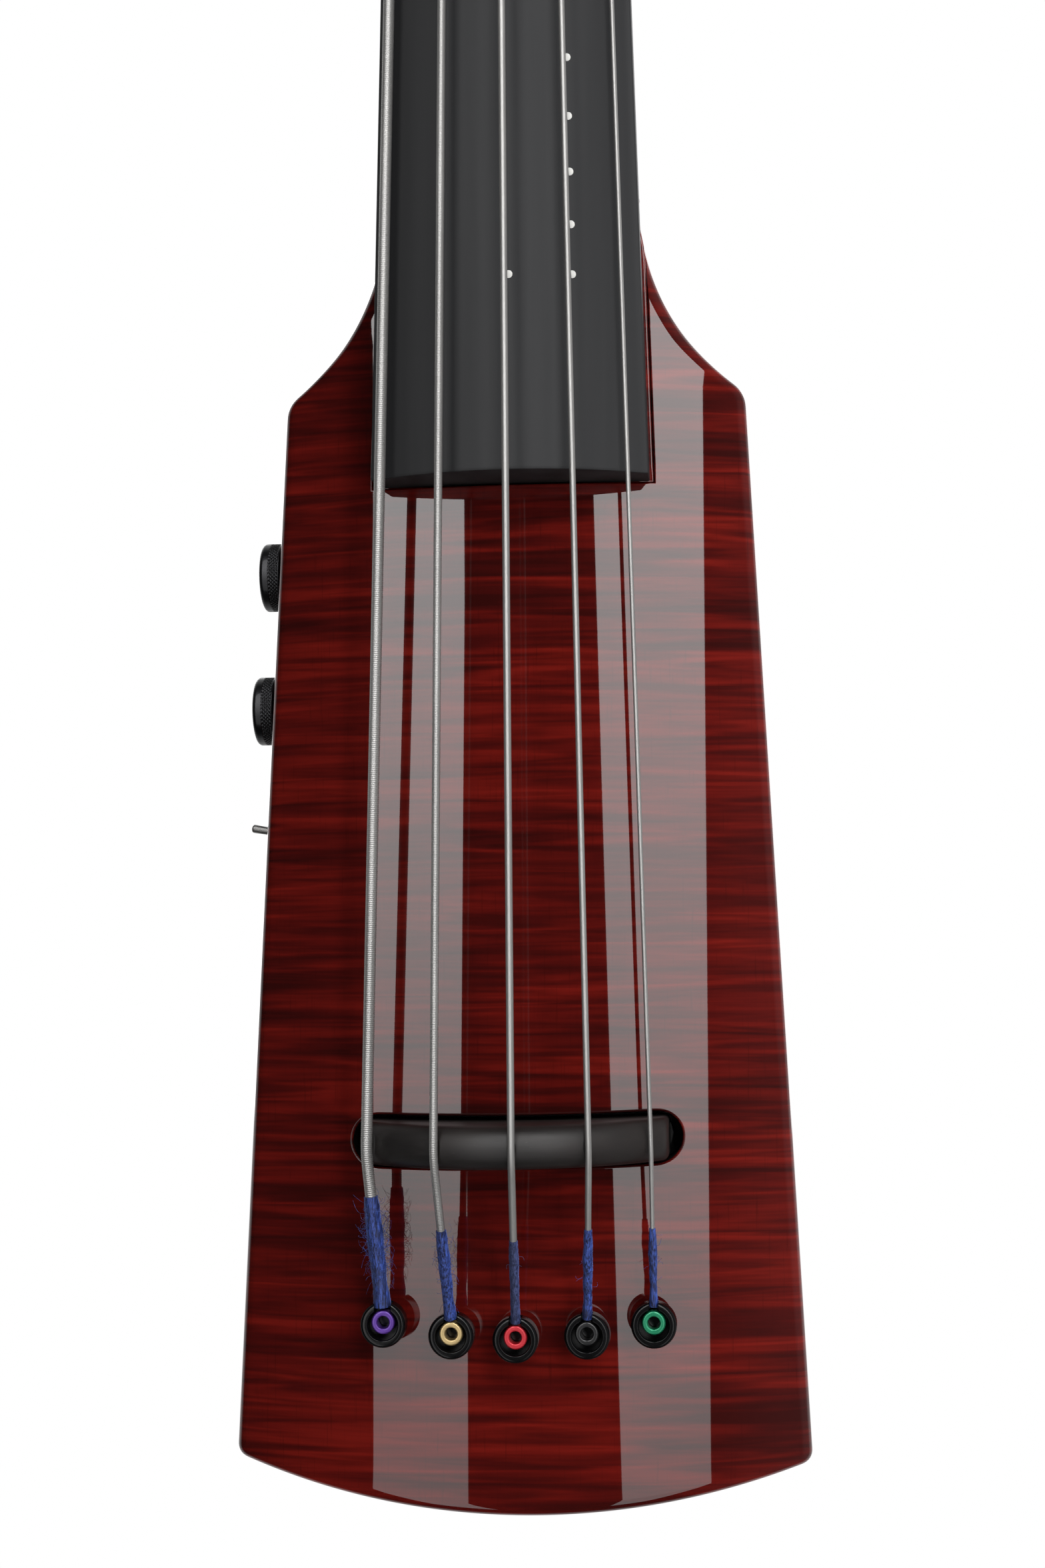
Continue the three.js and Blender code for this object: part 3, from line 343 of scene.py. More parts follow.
def plate(outline, top, back, top_round, back_round, pitch, steps=6):
    """A board with the given outline in x and z, between the heights top and back, with rounded edges.
    top, back and the radius top_round are numbers or functions of x and z."""
    guard = 0.4
    top, back, top_round = field(top), field(back), field(top_round)
    out = normals_2d(outline)
    points = [Vector(p) for p in outline]
    rings = []

    def ring(distance, height):
        made = []
        for p, n in zip(points, out):
            r = top_round(p.x, p.y)
            q = p - n * distance(r)
            made.append((q.x, -height(q.x, q.y, r), q.y))
        rings.append(made)

    ring(lambda r: r + guard, lambda x, z, r: top(x, z))
    for k in range(steps + 1):
        turn = math.pi / 2 * k / steps
        ring(lambda r: r * (1 - math.sin(turn)), lambda x, z, r: top(x, z) - r * (1 - math.cos(turn)))
    ring(lambda r: 0, lambda x, z, r: top(x, z) - r - guard)
    ring(lambda r: 0, lambda x, z, r: back(x, z) + back_round + guard)
    for k in range(steps, -1, -1):
        turn = math.pi / 2 * k / steps
        inset, rise = back_round * (1 - math.sin(turn)), back_round * (1 - math.cos(turn))
        ring(lambda r: inset, lambda x, z, r: back(x, z) + rise)
    ring(lambda r: back_round + guard, lambda x, z, r: back(x, z))

    verts, faces = rings_mesh(rings, caps=False)
    for rim, height, start in ((rings[0], top, 0), (rings[-1], back, len(verts) - len(outline))):
        edge = [(p[0], p[2]) for p in rim]
        (x0, x1), (z0, z1) = [(min(values), max(values)) for values in zip(*edge)]
        columns, rows = math.ceil((x1 - x0) / pitch), math.ceil((z1 - z0) / pitch)
        grid = []
        for i in range(1, columns):
            for j in range(1, rows):
                x, z = mix(x0, x1, i / columns), mix(z0, z1, j / rows)
                near = min((x - a) ** 2 + (z - b) ** 2 for a, b in edge)
                if near > (0.4 * pitch) ** 2 and inside(x, z, edge):
                    grid.append((x, z))
        count = len(edge)
        loop = [(i, (i + 1) % count) for i in range(count)]
        made = delaunay_2d_cdt([Vector(p) for p in edge + grid], loop, [list(range(count))], 1, 1e-6)
        origin = [sources[0] for sources in made[3]]
        base = len(verts) - count
        verts.extend((x, -height(x, z), z) for x, z in grid)
        for face in made[2]:
            ids = [origin[i] for i in face]
            faces.append([(start if i < count else base) + i for i in ids])
    return verts, faces


# ---------------------------------------------------------------- pieces

def new_object(name, data):
    made = bpy.data.objects.new(name, data)
    bpy.context.scene.collection.objects.link(made)
    return made


def make(name, shape, place, material, angle=38):
    """An object from (verts, faces) in the frame of the matrix place, sharp past an angle in degrees."""
    mesh = bpy.data.meshes.new(name)
    mesh.from_pydata([tuple(place @ Vector(v)) for v in shape[0]], [], shape[1])
    tidy = bmesh.new()
    tidy.from_mesh(mesh)
    bmesh.ops.recalc_face_normals(tidy, faces=tidy.faces)
    tidy.to_mesh(mesh)
    tidy.free()
    mesh.shade_smooth()
    mesh.set_sharp_from_angle(angle=math.radians(angle))
    mesh.materials.append(material)
    return new_object(name, mesh)


def settle(piece, nodes=(), body=ROOT):
    """Rides the piece on its body, in place of CAD nodes."""
    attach(piece, body)
    if nodes:
        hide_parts(*nodes)


def cutter(shape, place, material):
    return make("cutter", shape, place, material)


def drill(radius, low, high, axis, segments, centre, place, material):
    """A round cutter between two distances along its axis."""
    profile = [(0, low), (radius, low), (radius, high), (0, high)]
    return cutter(turned(profile, axis, segments, centre), place, material)


def carve(name, blank, cutters, angle=30):
    """The blank less its cutters. What is left of the blank's own skin keeps its smooth normals."""
    for tool in cutters:
        change = blank.modifiers.new("cut", "BOOLEAN")
        change.operation = "DIFFERENCE"
        change.solver = "EXACT"
        change.object = tool
        change.material_mode = "TRANSFER"
    skin = blank.data
    result = bpy.data.meshes.new_from_object(blank.evaluated_get(bpy.context.evaluated_depsgraph_get()))
    result.shade_smooth()
    result.set_sharp_from_angle(angle=math.radians(angle))
    tree = BVHTree.FromPolygons([v.co for v in skin.vertices], [p.vertices[:] for p in skin.polygons])
    corner_normals = [Vector(n.vector) for n in skin.corner_normals]
    wanted = [Vector(n.vector) for n in result.corner_normals]
    for polygon in result.polygons:
        found = tree.find_nearest(polygon.center)
        if found[2] is None or found[3] >= 4e-6 or found[1].dot(polygon.normal) <= 0.9:
            continue
        source = skin.polygons[found[2]]
        shape = [skin.vertices[i].co for i in source.vertices]
        for loop, vertex in zip(polygon.loop_indices, polygon.vertices):
            weights = poly_3d_calc(shape, result.vertices[vertex].co)
            total = Vector((0, 0, 0))
            for weight, corner in zip(weights, source.loop_indices):
                total += corner_normals[corner] * weight
            wanted[loop] = total.normalized()
    result.normals_split_custom_set(wanted)
    for old in [blank, *cutters]:
        bpy.data.objects.remove(old)
    return new_object(name, result)


# ---------------------------------------------------------------- materials

class Nodes:
    """A node tree, with short calls for the nodes used here."""

    def __init__(self, tree):
        self.tree = tree

    def put(self, value, socket):
        """Links a socket, or sets a number or colour."""
        if isinstance(value, bpy.types.NodeSocket):
            self.tree.links.new(value, socket)
        elif isinstance(value, tuple) and socket.type == "RGBA":
            socket.default_value = (*value[:3], 1)
        else:
            socket.default_value = value

    def add(self, kind, output, **inputs):
        """A new node with these inputs (their names with _ for each space), and one of its outputs."""
        node = self.tree.nodes.new("ShaderNode" + kind)
        for name, value in inputs.items():
            self.put(value, node.inputs[name.replace("_", " ")])
        return node.outputs[output]

    def math(self, kind, a, b):
        node = self.tree.nodes.new("ShaderNodeMath")
        node.operation = kind
        self.put(a, node.inputs[0])
        self.put(b, node.inputs[1])
        return node.outputs[0]

    def mixed(self, a, share, b, other_share):
        """The sum of two values, each times its share."""
        return self.math("ADD", self.math("MULTIPLY", a, share), self.math("MULTIPLY", b, other_share))

    def between(self, value, low, high, **span):
        return self.add("MapRange", "Result", Value=value, To_Min=low, To_Max=high, **span)


class Shader(Nodes):
    """A material's node tree, with object coordinates for its patterns."""

    def __init__(self, name, **values):
        self.material = bpy.data.materials.new(name)
        self.material.use_nodes = True
        super().__init__(self.material.node_tree)
        self.surface = self.tree.nodes["Principled BSDF"]
        for key, value in values.items():
            self.surface.inputs[key.replace("_", " ")].default_value = value
        self.place = self.add("TexCoord", "Object")

    def scaled(self, scale):
        return self.add("Mapping", "Vector", Vector=self.place, Scale=scale)

    def noise(self, scale, detail=3, roughness=0.5, distortion=0.0):
        return self.add("TexNoise", "Fac", Vector=self.scaled(scale), Scale=1, Detail=detail,
                        Roughness=roughness, Distortion=distortion)

    def ramp(self, value, stops):
        node = self.tree.nodes.new("ShaderNodeValToRGB")
        elements = node.color_ramp.elements
        while len(elements) < len(stops):
            elements.new(0.5)
        for element, (position, colour) in zip(elements, stops):
            element.position = position
            element.color = (*colour, 1) if isinstance(colour, tuple) else (colour, colour, colour, 1)
        self.put(value, node.inputs["Fac"])
        return node.outputs["Color"]

    def tint(self, pattern, low, high):
        return self.blend(self.between(pattern, 0.0, 1.0), low, high)

    def blend(self, factor, a, b):
        """Colour a where the factor is 0 and colour b where it is 1."""
        node = self.tree.nodes.new("ShaderNodeMix")
        node.data_type = "RGBA"
        first, second = [socket for socket in node.inputs if socket.type == "RGBA"]
        self.put(factor, node.inputs[0])
        self.put(a, first)
        self.put(b, second)
        return next(socket for socket in node.outputs if socket.type == "RGBA")

    def finish(self, colour, rough, height=None, depth=0.0, strength=1.0):
        """Links colour and roughness, adds a bump depth metres deep if there is a height for one, and
        returns the material."""
        self.put(colour, self.surface.inputs["Base Color"])
        self.put(rough, self.surface.inputs["Roughness"])
        if height is not None:
            bump = self.add("Bump", "Normal", Height=height, Distance=depth, Strength=strength)
            self.put(bump, self.surface.inputs["Normal"])
        return self.material


def flamed_maple(name):
    """Red stain over flamed maple: stripes across the grain, under gloss lacquer."""
    shader = Shader(name, Coat_Weight=1.0, Coat_Roughness=0.015, Coat_IOR=1.5, Specular_IOR_Level=0.0)
    bands = shader.noise((13, 13, 250), 2, 0.5, 0.9)
    broad = shader.noise((9, 9, 62), 2, 0.5, 0.6)
    fine = shader.noise((34, 34, 620), 2, 0.55, 0.3)
    cloud = shader.noise((16, 16, 11), 2)
    pores = shader.noise((1500, 1500, 55), 2, 0.6)
    flame = shader.mixed(shader.mixed(bands, 0.52, fine, 0.18), 1.0, broad, 0.30)
    stain = shader.ramp(
        flame,
        [(0.38, (0.028, 0.0032, 0.0028)), (0.46, (0.062, 0.0042, 0.0036)),
         (0.54, (0.125, 0.0066, 0.0046)), (0.64, (0.215, 0.0115, 0.0072))],
    )
    clouded = shader.blend(shader.between(cloud, 0.0, 0.4), stain, (0.085, 0.0052, 0.0040))
    pored = shader.blend(shader.ramp(pores, [(0.60, 0.0), (0.74, 0.35)]), clouded, (0.040, 0.0030, 0.0024))
    rough = shader.between(flame, 0.5, 0.36)
    return shader.finish(pored, rough, shader.noise((60, 60, 60), 1), 0.00002, 0.25)


# Near-black for the walls and floors of cut-outs: partly their dark finish, partly painted shade for the
# darkness deep inside them.
def dark_cavity():
    shader = Shader("cavity_paint", Specular_IOR_Level=0.3)
    speck = shader.noise((900, 900, 900))
    tint = shader.ramp(speck, [(0.3, (0.006, 0.0055, 0.0055)), (0.7, (0.012, 0.010, 0.010))])
    return shader.finish(tint, shader.between(speck, 0.45, 0.65), speck, 0.00006)


def ebony(name, low, high, rough_low, rough_high, level=0.5):
    """Close-grained black wood, with its grain along z."""
    shader = Shader(name, Specular_IOR_Level=level)
    grain = shader.noise((700, 700, 14), 4, 0.6)
    streak = shader.noise((95, 95, 2.2))
    scratch = shader.noise((2600, 2600, 26), 2, 0.7)
    tint = shader.tint(streak, low, high)
    rough = shader.between(shader.mixed(grain, 0.6, streak, 0.4), rough_low, rough_high)
    return shader.finish(tint, rough, shader.mixed(grain, 1.0, scratch, 0.5), 0.000025, 0.6)


def bridge_wood():
    """Dark wood with its grain along x, worn pale in small scuffs."""
    shader = Shader("bridge_ebony", Specular_IOR_Level=0.45)
    grain = shader.noise((60, 400, 900), 4, 0.6)
    patch = shader.noise((45, 90, 160), 2)
    scuff = shader.noise((260, 700, 1500), 3, 0.75, 0.6)
    base = shader.tint(patch, (0.008, 0.0075, 0.0075), (0.021, 0.015, 0.0135))
    worn = shader.blend(shader.ramp(scuff, [(0.66, 0.0), (0.73, 0.35)]), base, (0.075, 0.066, 0.062))
    rough = shader.between(grain, 0.34, 0.56)
    return shader.finish(worn, rough, shader.math("ADD", grain, scuff), 0.00004, 0.6)


def metal(name, colour, rough_low, rough_high, metallic=1.0, grain=900, coat=0.0, depth=0.000012, level=0.5):
    """Metal with smudged gloss and a fine surface."""
    shader = Shader(name, Metallic=metallic, Coat_Weight=coat, Coat_Roughness=0.08, Specular_IOR_Level=level)
    smudge = shader.noise((120, 120, 120), 3, 0.6)
    fine = shader.noise((grain, grain, grain), 3, 0.6)
    tint = shader.tint(smudge, tuple(c * 0.72 for c in colour), colour)
    return shader.finish(tint, shader.between(smudge, rough_low, rough_high), fine, depth, 0.5)


def wound_steel(name):
    """Winding wire, with patches of duller metal along the string."""
    shader = Shader(name, Metallic=0.8)
    tone = shader.noise((200, 200, 25), 2)
    tint = shader.tint(tone, (0.31, 0.306, 0.30), (0.45, 0.442, 0.43))
    return shader.finish(tint, shader.between(tone, 0.40, 0.52))


def silk_thread(name, deep, bright, worn):
    """Silk whipping: fine threads along the string, with dark and worn patches."""
    shader = Shader(name, Sheen_Weight=0.45, Sheen_Roughness=0.4, Specular_IOR_Level=0.35)
    shader.put((0.35, 0.45, 1.0), shader.surface.inputs["Sheen Tint"])
    threads = shader.noise((2600, 2600, 160), 3, 0.6, 0.4)
    patch = shader.noise((150, 150, 330), 3, 0.6)
    base = shader.ramp(threads, [(0.42, deep), (0.62, bright)])
    tint = shader.blend(shader.ramp(patch, [(0.5, 0.0), (0.68, worn)]), base, (0.018, 0.024, 0.075))
    return shader.finish(tint, shader.between(threads, 0.38, 0.62), threads, 0.00012, 0.8)


def plastic(name, colour, rough, texture):
    shader = Shader(name, Specular_IOR_Level=0.45)
    grain = shader.noise((texture, texture, texture), 3, 0.6)
    tint = shader.tint(grain, tuple(c * 0.8 for c in colour), colour)
    return shader.finish(tint, shader.between(grain, rough - 0.05, rough + 0.07), grain, 0.00004, 0.5)


MAPLE = flamed_maple("red_flamed_maple")
NECK_MAPLE = flamed_maple("red_neck_maple")
CAVITY = dark_cavity()
EBONY = ebony("fingerboard_ebony", (0.0070, 0.0072, 0.0082), (0.0300, 0.0302, 0.0318), 0.52, 0.66, 0.26)
NUT_EBONY = ebony("nut_ebony", (0.010, 0.009, 0.008), (0.020, 0.018, 0.016), 0.32, 0.48)
BRIDGE_WOOD = bridge_wood()
GLOSS_BLACK = metal("anchor_black", (0.0035, 0.0035, 0.004), 0.13, 0.24, metallic=0.0, level=0.24)
BLACK_METAL = metal("black_metal", (0.055, 0.055, 0.058), 0.26, 0.42)
KNOB_METAL = metal("knob_black", (0.024, 0.024, 0.026), 0.3, 0.44, coat=0.15)
NICKEL = metal("nickel", (0.60, 0.585, 0.56), 0.18, 0.34)
STEEL = metal("steel", (0.50, 0.50, 0.50), 0.25, 0.42)
LEVER_METAL = metal("lever_metal", (0.20, 0.196, 0.19), 0.32, 0.48)
CHROME = metal("tuner_black_chrome", (0.085, 0.085, 0.09), 0.12, 0.26)
PLATE_BLACK = metal("plate_black", (0.045, 0.045, 0.047), 0.36, 0.52, grain=400, depth=0.00003)
COVER = plastic("cover_plastic", (0.020, 0.020, 0.021), 0.5, 1800)
PICKUP = plastic("pickup_plastic", (0.016, 0.016, 0.017), 0.45, 1200)
RUBBER = plastic("lead_rubber", (0.014, 0.014, 0.015), 0.62, 900)
SHELL = plastic("dot_shell", (0.72, 0.71, 0.68), 0.3, 500)
BALLS = {
    "purple": metal("ball_purple", (0.115, 0.036, 0.34), 0.3, 0.42, metallic=0.4, coat=0.3),
    "brass": metal("ball_brass", (0.62, 0.46, 0.22), 0.28, 0.4, metallic=0.7),
    "red": metal("ball_red", (0.62, 0.02, 0.035), 0.3, 0.42, metallic=0.35, coat=0.3),
    "black": metal("ball_black", (0.018, 0.018, 0.019), 0.24, 0.36, metallic=0.4, coat=0.5),
    "green": metal("ball_green", (0.012, 0.30, 0.14), 0.24, 0.36, metallic=0.45, coat=0.5),
}
SILK = silk_thread("silk_blue", (0.0014, 0.0040, 0.036), (0.043, 0.095, 0.43), 0.55)
SILK_WORN = silk_thread("silk_worn", (0.009, 0.014, 0.052), (0.052, 0.070, 0.19), 0.6)


# ---------------------------------------------------------------- camera, lights and floor

def camera():
    """The viewing angle of the photograph: in front, a little right, looking slightly left and up."""
    yaw, pitch, roll = 0.091, 0.0918, 0.0065
    turn = Matrix.Rotation(yaw, 4, "Z") @ Matrix.Rotation(pitch, 4, "X") @ Matrix.Rotation(roll, 4, "Y")
    level = Matrix.Rotation(math.pi / 2, 4, "X")
    data = bpy.data.cameras.new("camera")
    data.lens = 50.3
    data.sensor_width = 36
    data.clip_start = 0.01
    made = new_object("camera", data)
    made.matrix_world = Matrix.Translation((0.0646, -0.7319, 0.0008)) @ turn @ level
    bpy.context.scene.camera = made


def area_light(name, centre, target, width, height, radiance, mirrored):
    """A rectangular light facing a target. Only a mirrored one shows in glossy surfaces."""
    data = bpy.data.lights.new(name, "AREA")
    data.shape = "RECTANGLE"
    data.size, data.size_y = width, height
    data.energy = radiance * width * height * math.pi
    lamp = new_object(name, data)
    lamp.location = centre
    lamp.rotation_mode = "QUATERNION"
    lamp.rotation_quaternion = (Vector(target) - Vector(centre)).to_track_quat("-Z", "Y")
    lamp.visible_camera = False
    lamp.visible_glossy = mirrored


def softbox(name, low, high, level, rise):
    """A strip of light that shows only as a mirror image. low and high are its (left, right, height)
    in metres, level its strength at height 0 and rise how much stronger it gets each metre."""
    weakest, strongest = 2.2, 7.2
    distance = -1.542
    shader = Shader(name)
    shader.tree.nodes.remove(shader.surface)
    height = shader.add("SeparateXYZ", "Z", Vector=shader.place)
    strength = shader.math("ADD", shader.math("MULTIPLY", height, rise), level)
    limited = shader.math("MINIMUM", shader.math("MAXIMUM", strength, weakest), strongest)
    glow = shader.add("Emission", "Emission", Strength=limited)
    shader.put(glow, shader.tree.nodes["Material Output"].inputs["Surface"])
    corners = [(low[0], distance, low[2]), (low[1], distance, low[2]),
               (high[1], distance, high[2]), (high[0], distance, high[2])]
    mesh = bpy.data.meshes.new(name)
    mesh.from_pydata(corners, [], [(0, 1, 2, 3)])
    mesh.materials.append(shader.material)
    panel = new_object(name, mesh)
    panel.visible_camera = False
    panel.visible_diffuse = False


def surroundings():
    """Light from all round: dark in front and on the left, dim on the right, bright behind."""
    white = (1, 1, 1)
    dark, behind, right = 0.02, 0.85, 0.28
    world = bpy.data.worlds.new("studio")
    world.use_nodes = True
    nodes = Nodes(world.node_tree)
    direction = nodes.add("TexCoord", "Generated")
    y = nodes.add("SeparateXYZ", "Y", Vector=direction)
    x = nodes.add("SeparateXYZ", "X", Vector=direction)
    from_behind = nodes.between(y, dark, behind, From_Min=0.02, From_Max=0.4)
    from_right = nodes.between(x, dark, right, From_Min=0.3, From_Max=0.8)
    strength = nodes.math("MAXIMUM", from_behind, from_right)
    ambient = nodes.tree.nodes["Background"]
    nodes.put(white, ambient.inputs["Color"])
    nodes.put(strength, ambient.inputs["Strength"])
    pale = nodes.add("Background", "Background", Color=white)
    seen = nodes.add("LightPath", "Is Camera Ray")
    either = nodes.tree.nodes.new("ShaderNodeMixShader")
    for value, socket in zip((seen, ambient.outputs[0], pale), either.inputs):
        nodes.put(value, socket)
    nodes.put(either.outputs[0], nodes.tree.nodes["World Output"].inputs["Surface"])
    bpy.context.scene.world = world
    bpy.context.scene.view_settings.view_transform = "Standard"


def studio():
    softbox("softbox_left", (-0.745, -0.335, -1.9), (-0.745, -0.335, 2.4), 4.1, 4.2)
    softbox("softbox_right", (0.359, 0.577, -1.9), (0.040, 0.696, 2.4), 4.3, 3.5)
    area_light("front_right", (0.5, -1.5, 0.75), (0, 0, 0.25), 0.7, 2.0, 5.5, False)
    area_light("window_right", (1.65, -0.95, 0.5), (0, 0, 0.2), 1.6, 2.4, 2.3, False)
    area_light("back_left", (-1.3, 2.6, 0.9), (0, 0, 0.4), 1.1, 2.2, 2.2, True)
    area_light("back_right", (1.3, 2.6, 0.9), (0, 0, 0.4), 1.1, 2.2, 2.2, True)
    surroundings()


def floor():
    """A plain pale floor, a stand's height below the instrument. It lights the object but doesn't
    mirror in its lacquer."""
    radius, level, thickness, half_sides = 1.9, -0.80, 0.01, 64
    shader = Shader("floor_pale")
    speck = shader.noise((6, 6, 6))
    tint = shader.ramp(speck, [(0.3, (0.80, 0.80, 0.79)), (0.7, (0.84, 0.84, 0.83))])
    shader.finish(tint, shader.between(speck, 0.75, 0.9))
    turns = [math.pi * k / half_sides for k in range(2 * half_sides)]
    disc = [(radius * math.cos(a), radius * math.sin(a)) for a in turns]
    rings = [[(x, y, z) for x, y in disc] for z in (level, level - thickness)]
    made = make("floor", rings_mesh(rings), Matrix.Identity(4), shader.material)
    made.visible_glossy = False
    made.visible_shadow = False


# ---------------------------------------------------------------- body

def body_side():
    """The right side of the body's outline, from the middle of the bottom to the top."""
    corner, flare, top_corner = 3.6, 0.3, 6
    side_end = (side_x(229), 229)
    shoulder_corner, shoulder, shoulder_bend = (74.1, 233.6), (70.5, 236.3), (46.7, 254)
    centre = BODY.bottom + BODY.bottom_radius
    corner_x = side_x(BODY.low_z) + flare
    corner_z = centre - math.sqrt(BODY.bottom_radius ** 2 - corner_x ** 2)
    sweep = math.asin((corner_x - corner) / BODY.bottom_radius)
    arc = [sweep * k / BOTTOM_STEPS for k in range(BOTTOM_STEPS + 1)]
    points = [(BODY.bottom_radius * math.sin(a), centre - BODY.bottom_radius * math.cos(a)) for a in arc]
    side_start = (side_x(corner_z + corner), corner_z + corner)
    points += quadratic(points[-1], (corner_x, corner_z), side_start, 8)
    points += line(side_start, side_end, 56)
    points += quadratic(side_end, shoulder_corner, shoulder, 9)
    neck_side = (BODY.top_half, BODY.top - top_corner)
    points += quadratic(shoulder, shoulder_bend, neck_side, 30)
    points += quadratic(neck_side, (BODY.top_half, BODY.top), (BODY.top_half - top_corner, BODY.top), 8)
    return points


BOTTOM_STEPS = 30
BODY_SIDE = body_side()


def body_half(z):
    """Half the body's width at a height z above the bottom corners."""
    for (xa, za), (xb, zb) in zip(BODY_SIDE[BOTTOM_STEPS + 1:], BODY_SIDE[BOTTOM_STEPS + 2:]):
        if za <= z <= zb:
            return mix(xa, xb, (z - za) / (zb - za))
    return BODY.top_half


def back_height(x, z):
    """The back's height, which the heel's scoop brings forward towards the neck."""
    share = (z - BODY.scoop_start) / (BODY.top - BODY.scoop_start)
    return -mix(BODY.depth, BODY.scoop_depth, smooth(share))


def edge_round(x, z):
    """The radius of the top's edge, softer along the shoulders."""
    return mix(3.0, 4.2, smooth((z - 240) / 14) * smooth((286 - z) / 14))


def lipped_room(outline, floor_height, lip, above=12, steps=5):
    """A cutter for an opening in the top: a floor, walls, and a rounded lip at the surface."""
    out = normals_2d(outline)
    rings = [[(x, -floor_height(z), z) for x, z in outline]]
    for k in range(steps + 1):
        turn = math.pi / 2 * k / steps
        grown = [(x + n.x * lip * (1 - math.cos(turn)), z + n.y * lip * (1 - math.cos(turn)))
                 for (x, z), n in zip(outline, out)]
        rings.append([(x, -(top_height(x) - lip + lip * math.sin(turn)), z) for x, z in grown])
    rings.append([(x, y - above, z) for x, y, z in rings[-1]])
    return rings_mesh(rings)


def lacquer_lip(tool, lip):
    """Gives a cutter's lip the lacquer of the top, and leaves its walls and floor as they are."""
    tool.data.materials.append(MAPLE)
    back = INSTRUMENT.inverted()
    for polygon in tool.data.polygons:
        centre = back @ polygon.center
        if -centre.y > top_height(centre.x) - lip * 0.97:
            polygon.material_index = 1
    return tool


def slot_outline():
    radius = SLOT.width / 2
    straight = SLOT.length / 2 - radius
    turns = [math.pi * (k / 20 - 0.5) for k in range(21)]
    right = [(straight + radius * math.cos(a), radius * math.sin(a)) for a in turns]
    across = line(right[-1], (-right[-1][0], right[-1][1]), 16)[:-1]
    left = [(-x, -z) for x, z in right]
    back_across = line((-right[0][0], right[0][1]), right[0], 16)[:-1]
    return [(x, z + seat_z(x)) for x, z in right + across + left + back_across]


def heel_outline(grow, end):
    """The outline of the heel's slab, or of its room in the body."""
    low = BOARD.end - HEEL.end - grow
    heights = [mix(low, end, k / 18) for k in range(19)]
    right = [(board_half(z - BOARD.end) + HEEL.ledge + grow, z) for z in heights]
    left = mirrored(right)
    return right + line(right[-1], left[0], 8)[:-1] + left + line(left[-1], right[0], 16)[:-1]


def heel_height(z, below):
    return BOARD.base + (z - BOARD.end) * math.tan(NECK_ANGLE) - below


def cavity_outline(grow):
    """The control cover's outline on the back, its outer side parallel to the body's."""
    low, high, inner = CAVITY_ROOM.low - grow, CAVITY_ROOM.high + grow, CAVITY_ROOM.inner + grow
    outer_low, outer_high = [-(side_x(z) - WALL) - grow for z in (low, high)]
    corners = [(inner, low), (inner, high), (outer_high, high), (outer_low, low)]
    start = (inner - 20, low)
    return fillet([start, *[(x, z, CAVITY_ROOM.corner) for x, z in corners], start], 6)[1:-1]


def anchor_place(string):
    x = string.anchor
    return x, top_height(x), ANCHOR.z + x * x / ANCHOR.bow


def make_body():
    top_edge = line(BODY_SIDE[-1], (-BODY_SIDE[-1][0], BODY.top), 14)[:-1]
    outline = BODY_SIDE + top_edge + mirrored(BODY_SIDE[1:])
    shape = plate(outline, lambda x, z: top_height(x), back_height, edge_round, BODY.back_round, 5)
    blank = make("blank", shape, INSTRUMENT, MAPLE, 60)
    slot_lip, heel_lip = 0.8, 0.6
    heel_depth = HEEL.slab + 2 * GAP
    half_width, half_height = PLATE.width / 2 + GAP, PLATE.height / 2 + GAP
    plate_room = rounded_rectangle(
        -half_width, half_width, PLATE.z - half_height, PLATE.z + half_height, PLATE.corner)
    plate_depth = PLATE.thickness - PLATE.proud + GAP
    slot = lipped_room(slot_outline(), lambda z: SLOT.floor, slot_lip)
    heel = lipped_room(heel_outline(GAP, BODY.top + 20), lambda z: heel_height(z, heel_depth), heel_lip)
    tools = [
        lacquer_lip(cutter(slot, INSTRUMENT, CAVITY), slot_lip),
        cutter(heel, INSTRUMENT, MAPLE),
        cutter(prism(cavity_outline(LEDGE), -BODY.depth - 1, -BODY.depth + LEDGE), INSTRUMENT, CAVITY),
        cutter(prism(plate_room, -BODY.depth - 1, -BODY.depth + plate_depth), INSTRUMENT, CAVITY),
    ]
    pot, switch, socket, socket_rim = (4.2, 14), (3.3, 14), (5.8, 31), (8.3, 1.3)
    bores = [(pot, CONTROLS.volume), (pot, CONTROLS.tone), (switch, CONTROLS.switch),
             (socket, CONTROLS.jack), (socket_rim, CONTROLS.jack)]
    for (radius, reach), z in bores:
        low, high = -side_x(z) - 6, -side_x(z) + reach
        tools.append(drill(radius, low, high, "x", 40, (0, -CONTROLS.h, z), INSTRUMENT, CAVITY))
    for string in STRINGS:
        x, h, z = anchor_place(string)
        tools.append(drill(ANCHOR.stem + GAP, -ANCHOR.depth - 1, 5, "y", 24, (x, -h, z), INSTRUMENT, CAVITY))
    settle(carve("body_top_and_sides", blank, tools), ["body"])


# ---------------------------------------------------------------- neck

def make_heel():
    outline = []
    for x, z in heel_outline(0, BODY.top + 3):
        limit = body_half(z) - 0.2
        outline.append((max(-limit, min(limit, x)), z))
    shape = plate(outline, lambda x, z: heel_height(z, GAP), lambda x, z: heel_height(z, HEEL.slab + GAP),
                  0.35, 0.2, 9, 3)
    settle(make("neck_heel_slab", shape, INSTRUMENT, NECK_MAPLE), ["neck"])


def shaft_section(along, half, depth):
    """The neck's section: flat in front, round behind."""
    edge = 3
    curve = ((-half, edge), (-half, depth * 0.8), (-half * 0.65, depth), (0, depth))
    path = [(-half, 0), (-half, edge)]
    for k in range(1, 25):
        t = k / 24
        path.append(tuple((1 - t) ** 3 * p + 3 * t * (1 - t) ** 2 * q + 3 * t * t * (1 - t) * r + t ** 3 * s
                          for p, q, r, s in zip(*curve)))
    path += mirrored(path[:-1])
    path += [(mix(half, -half, k / 10), 0) for k in range(1, 10)]
    return [(x, y + GAP, along) for x, y in path]


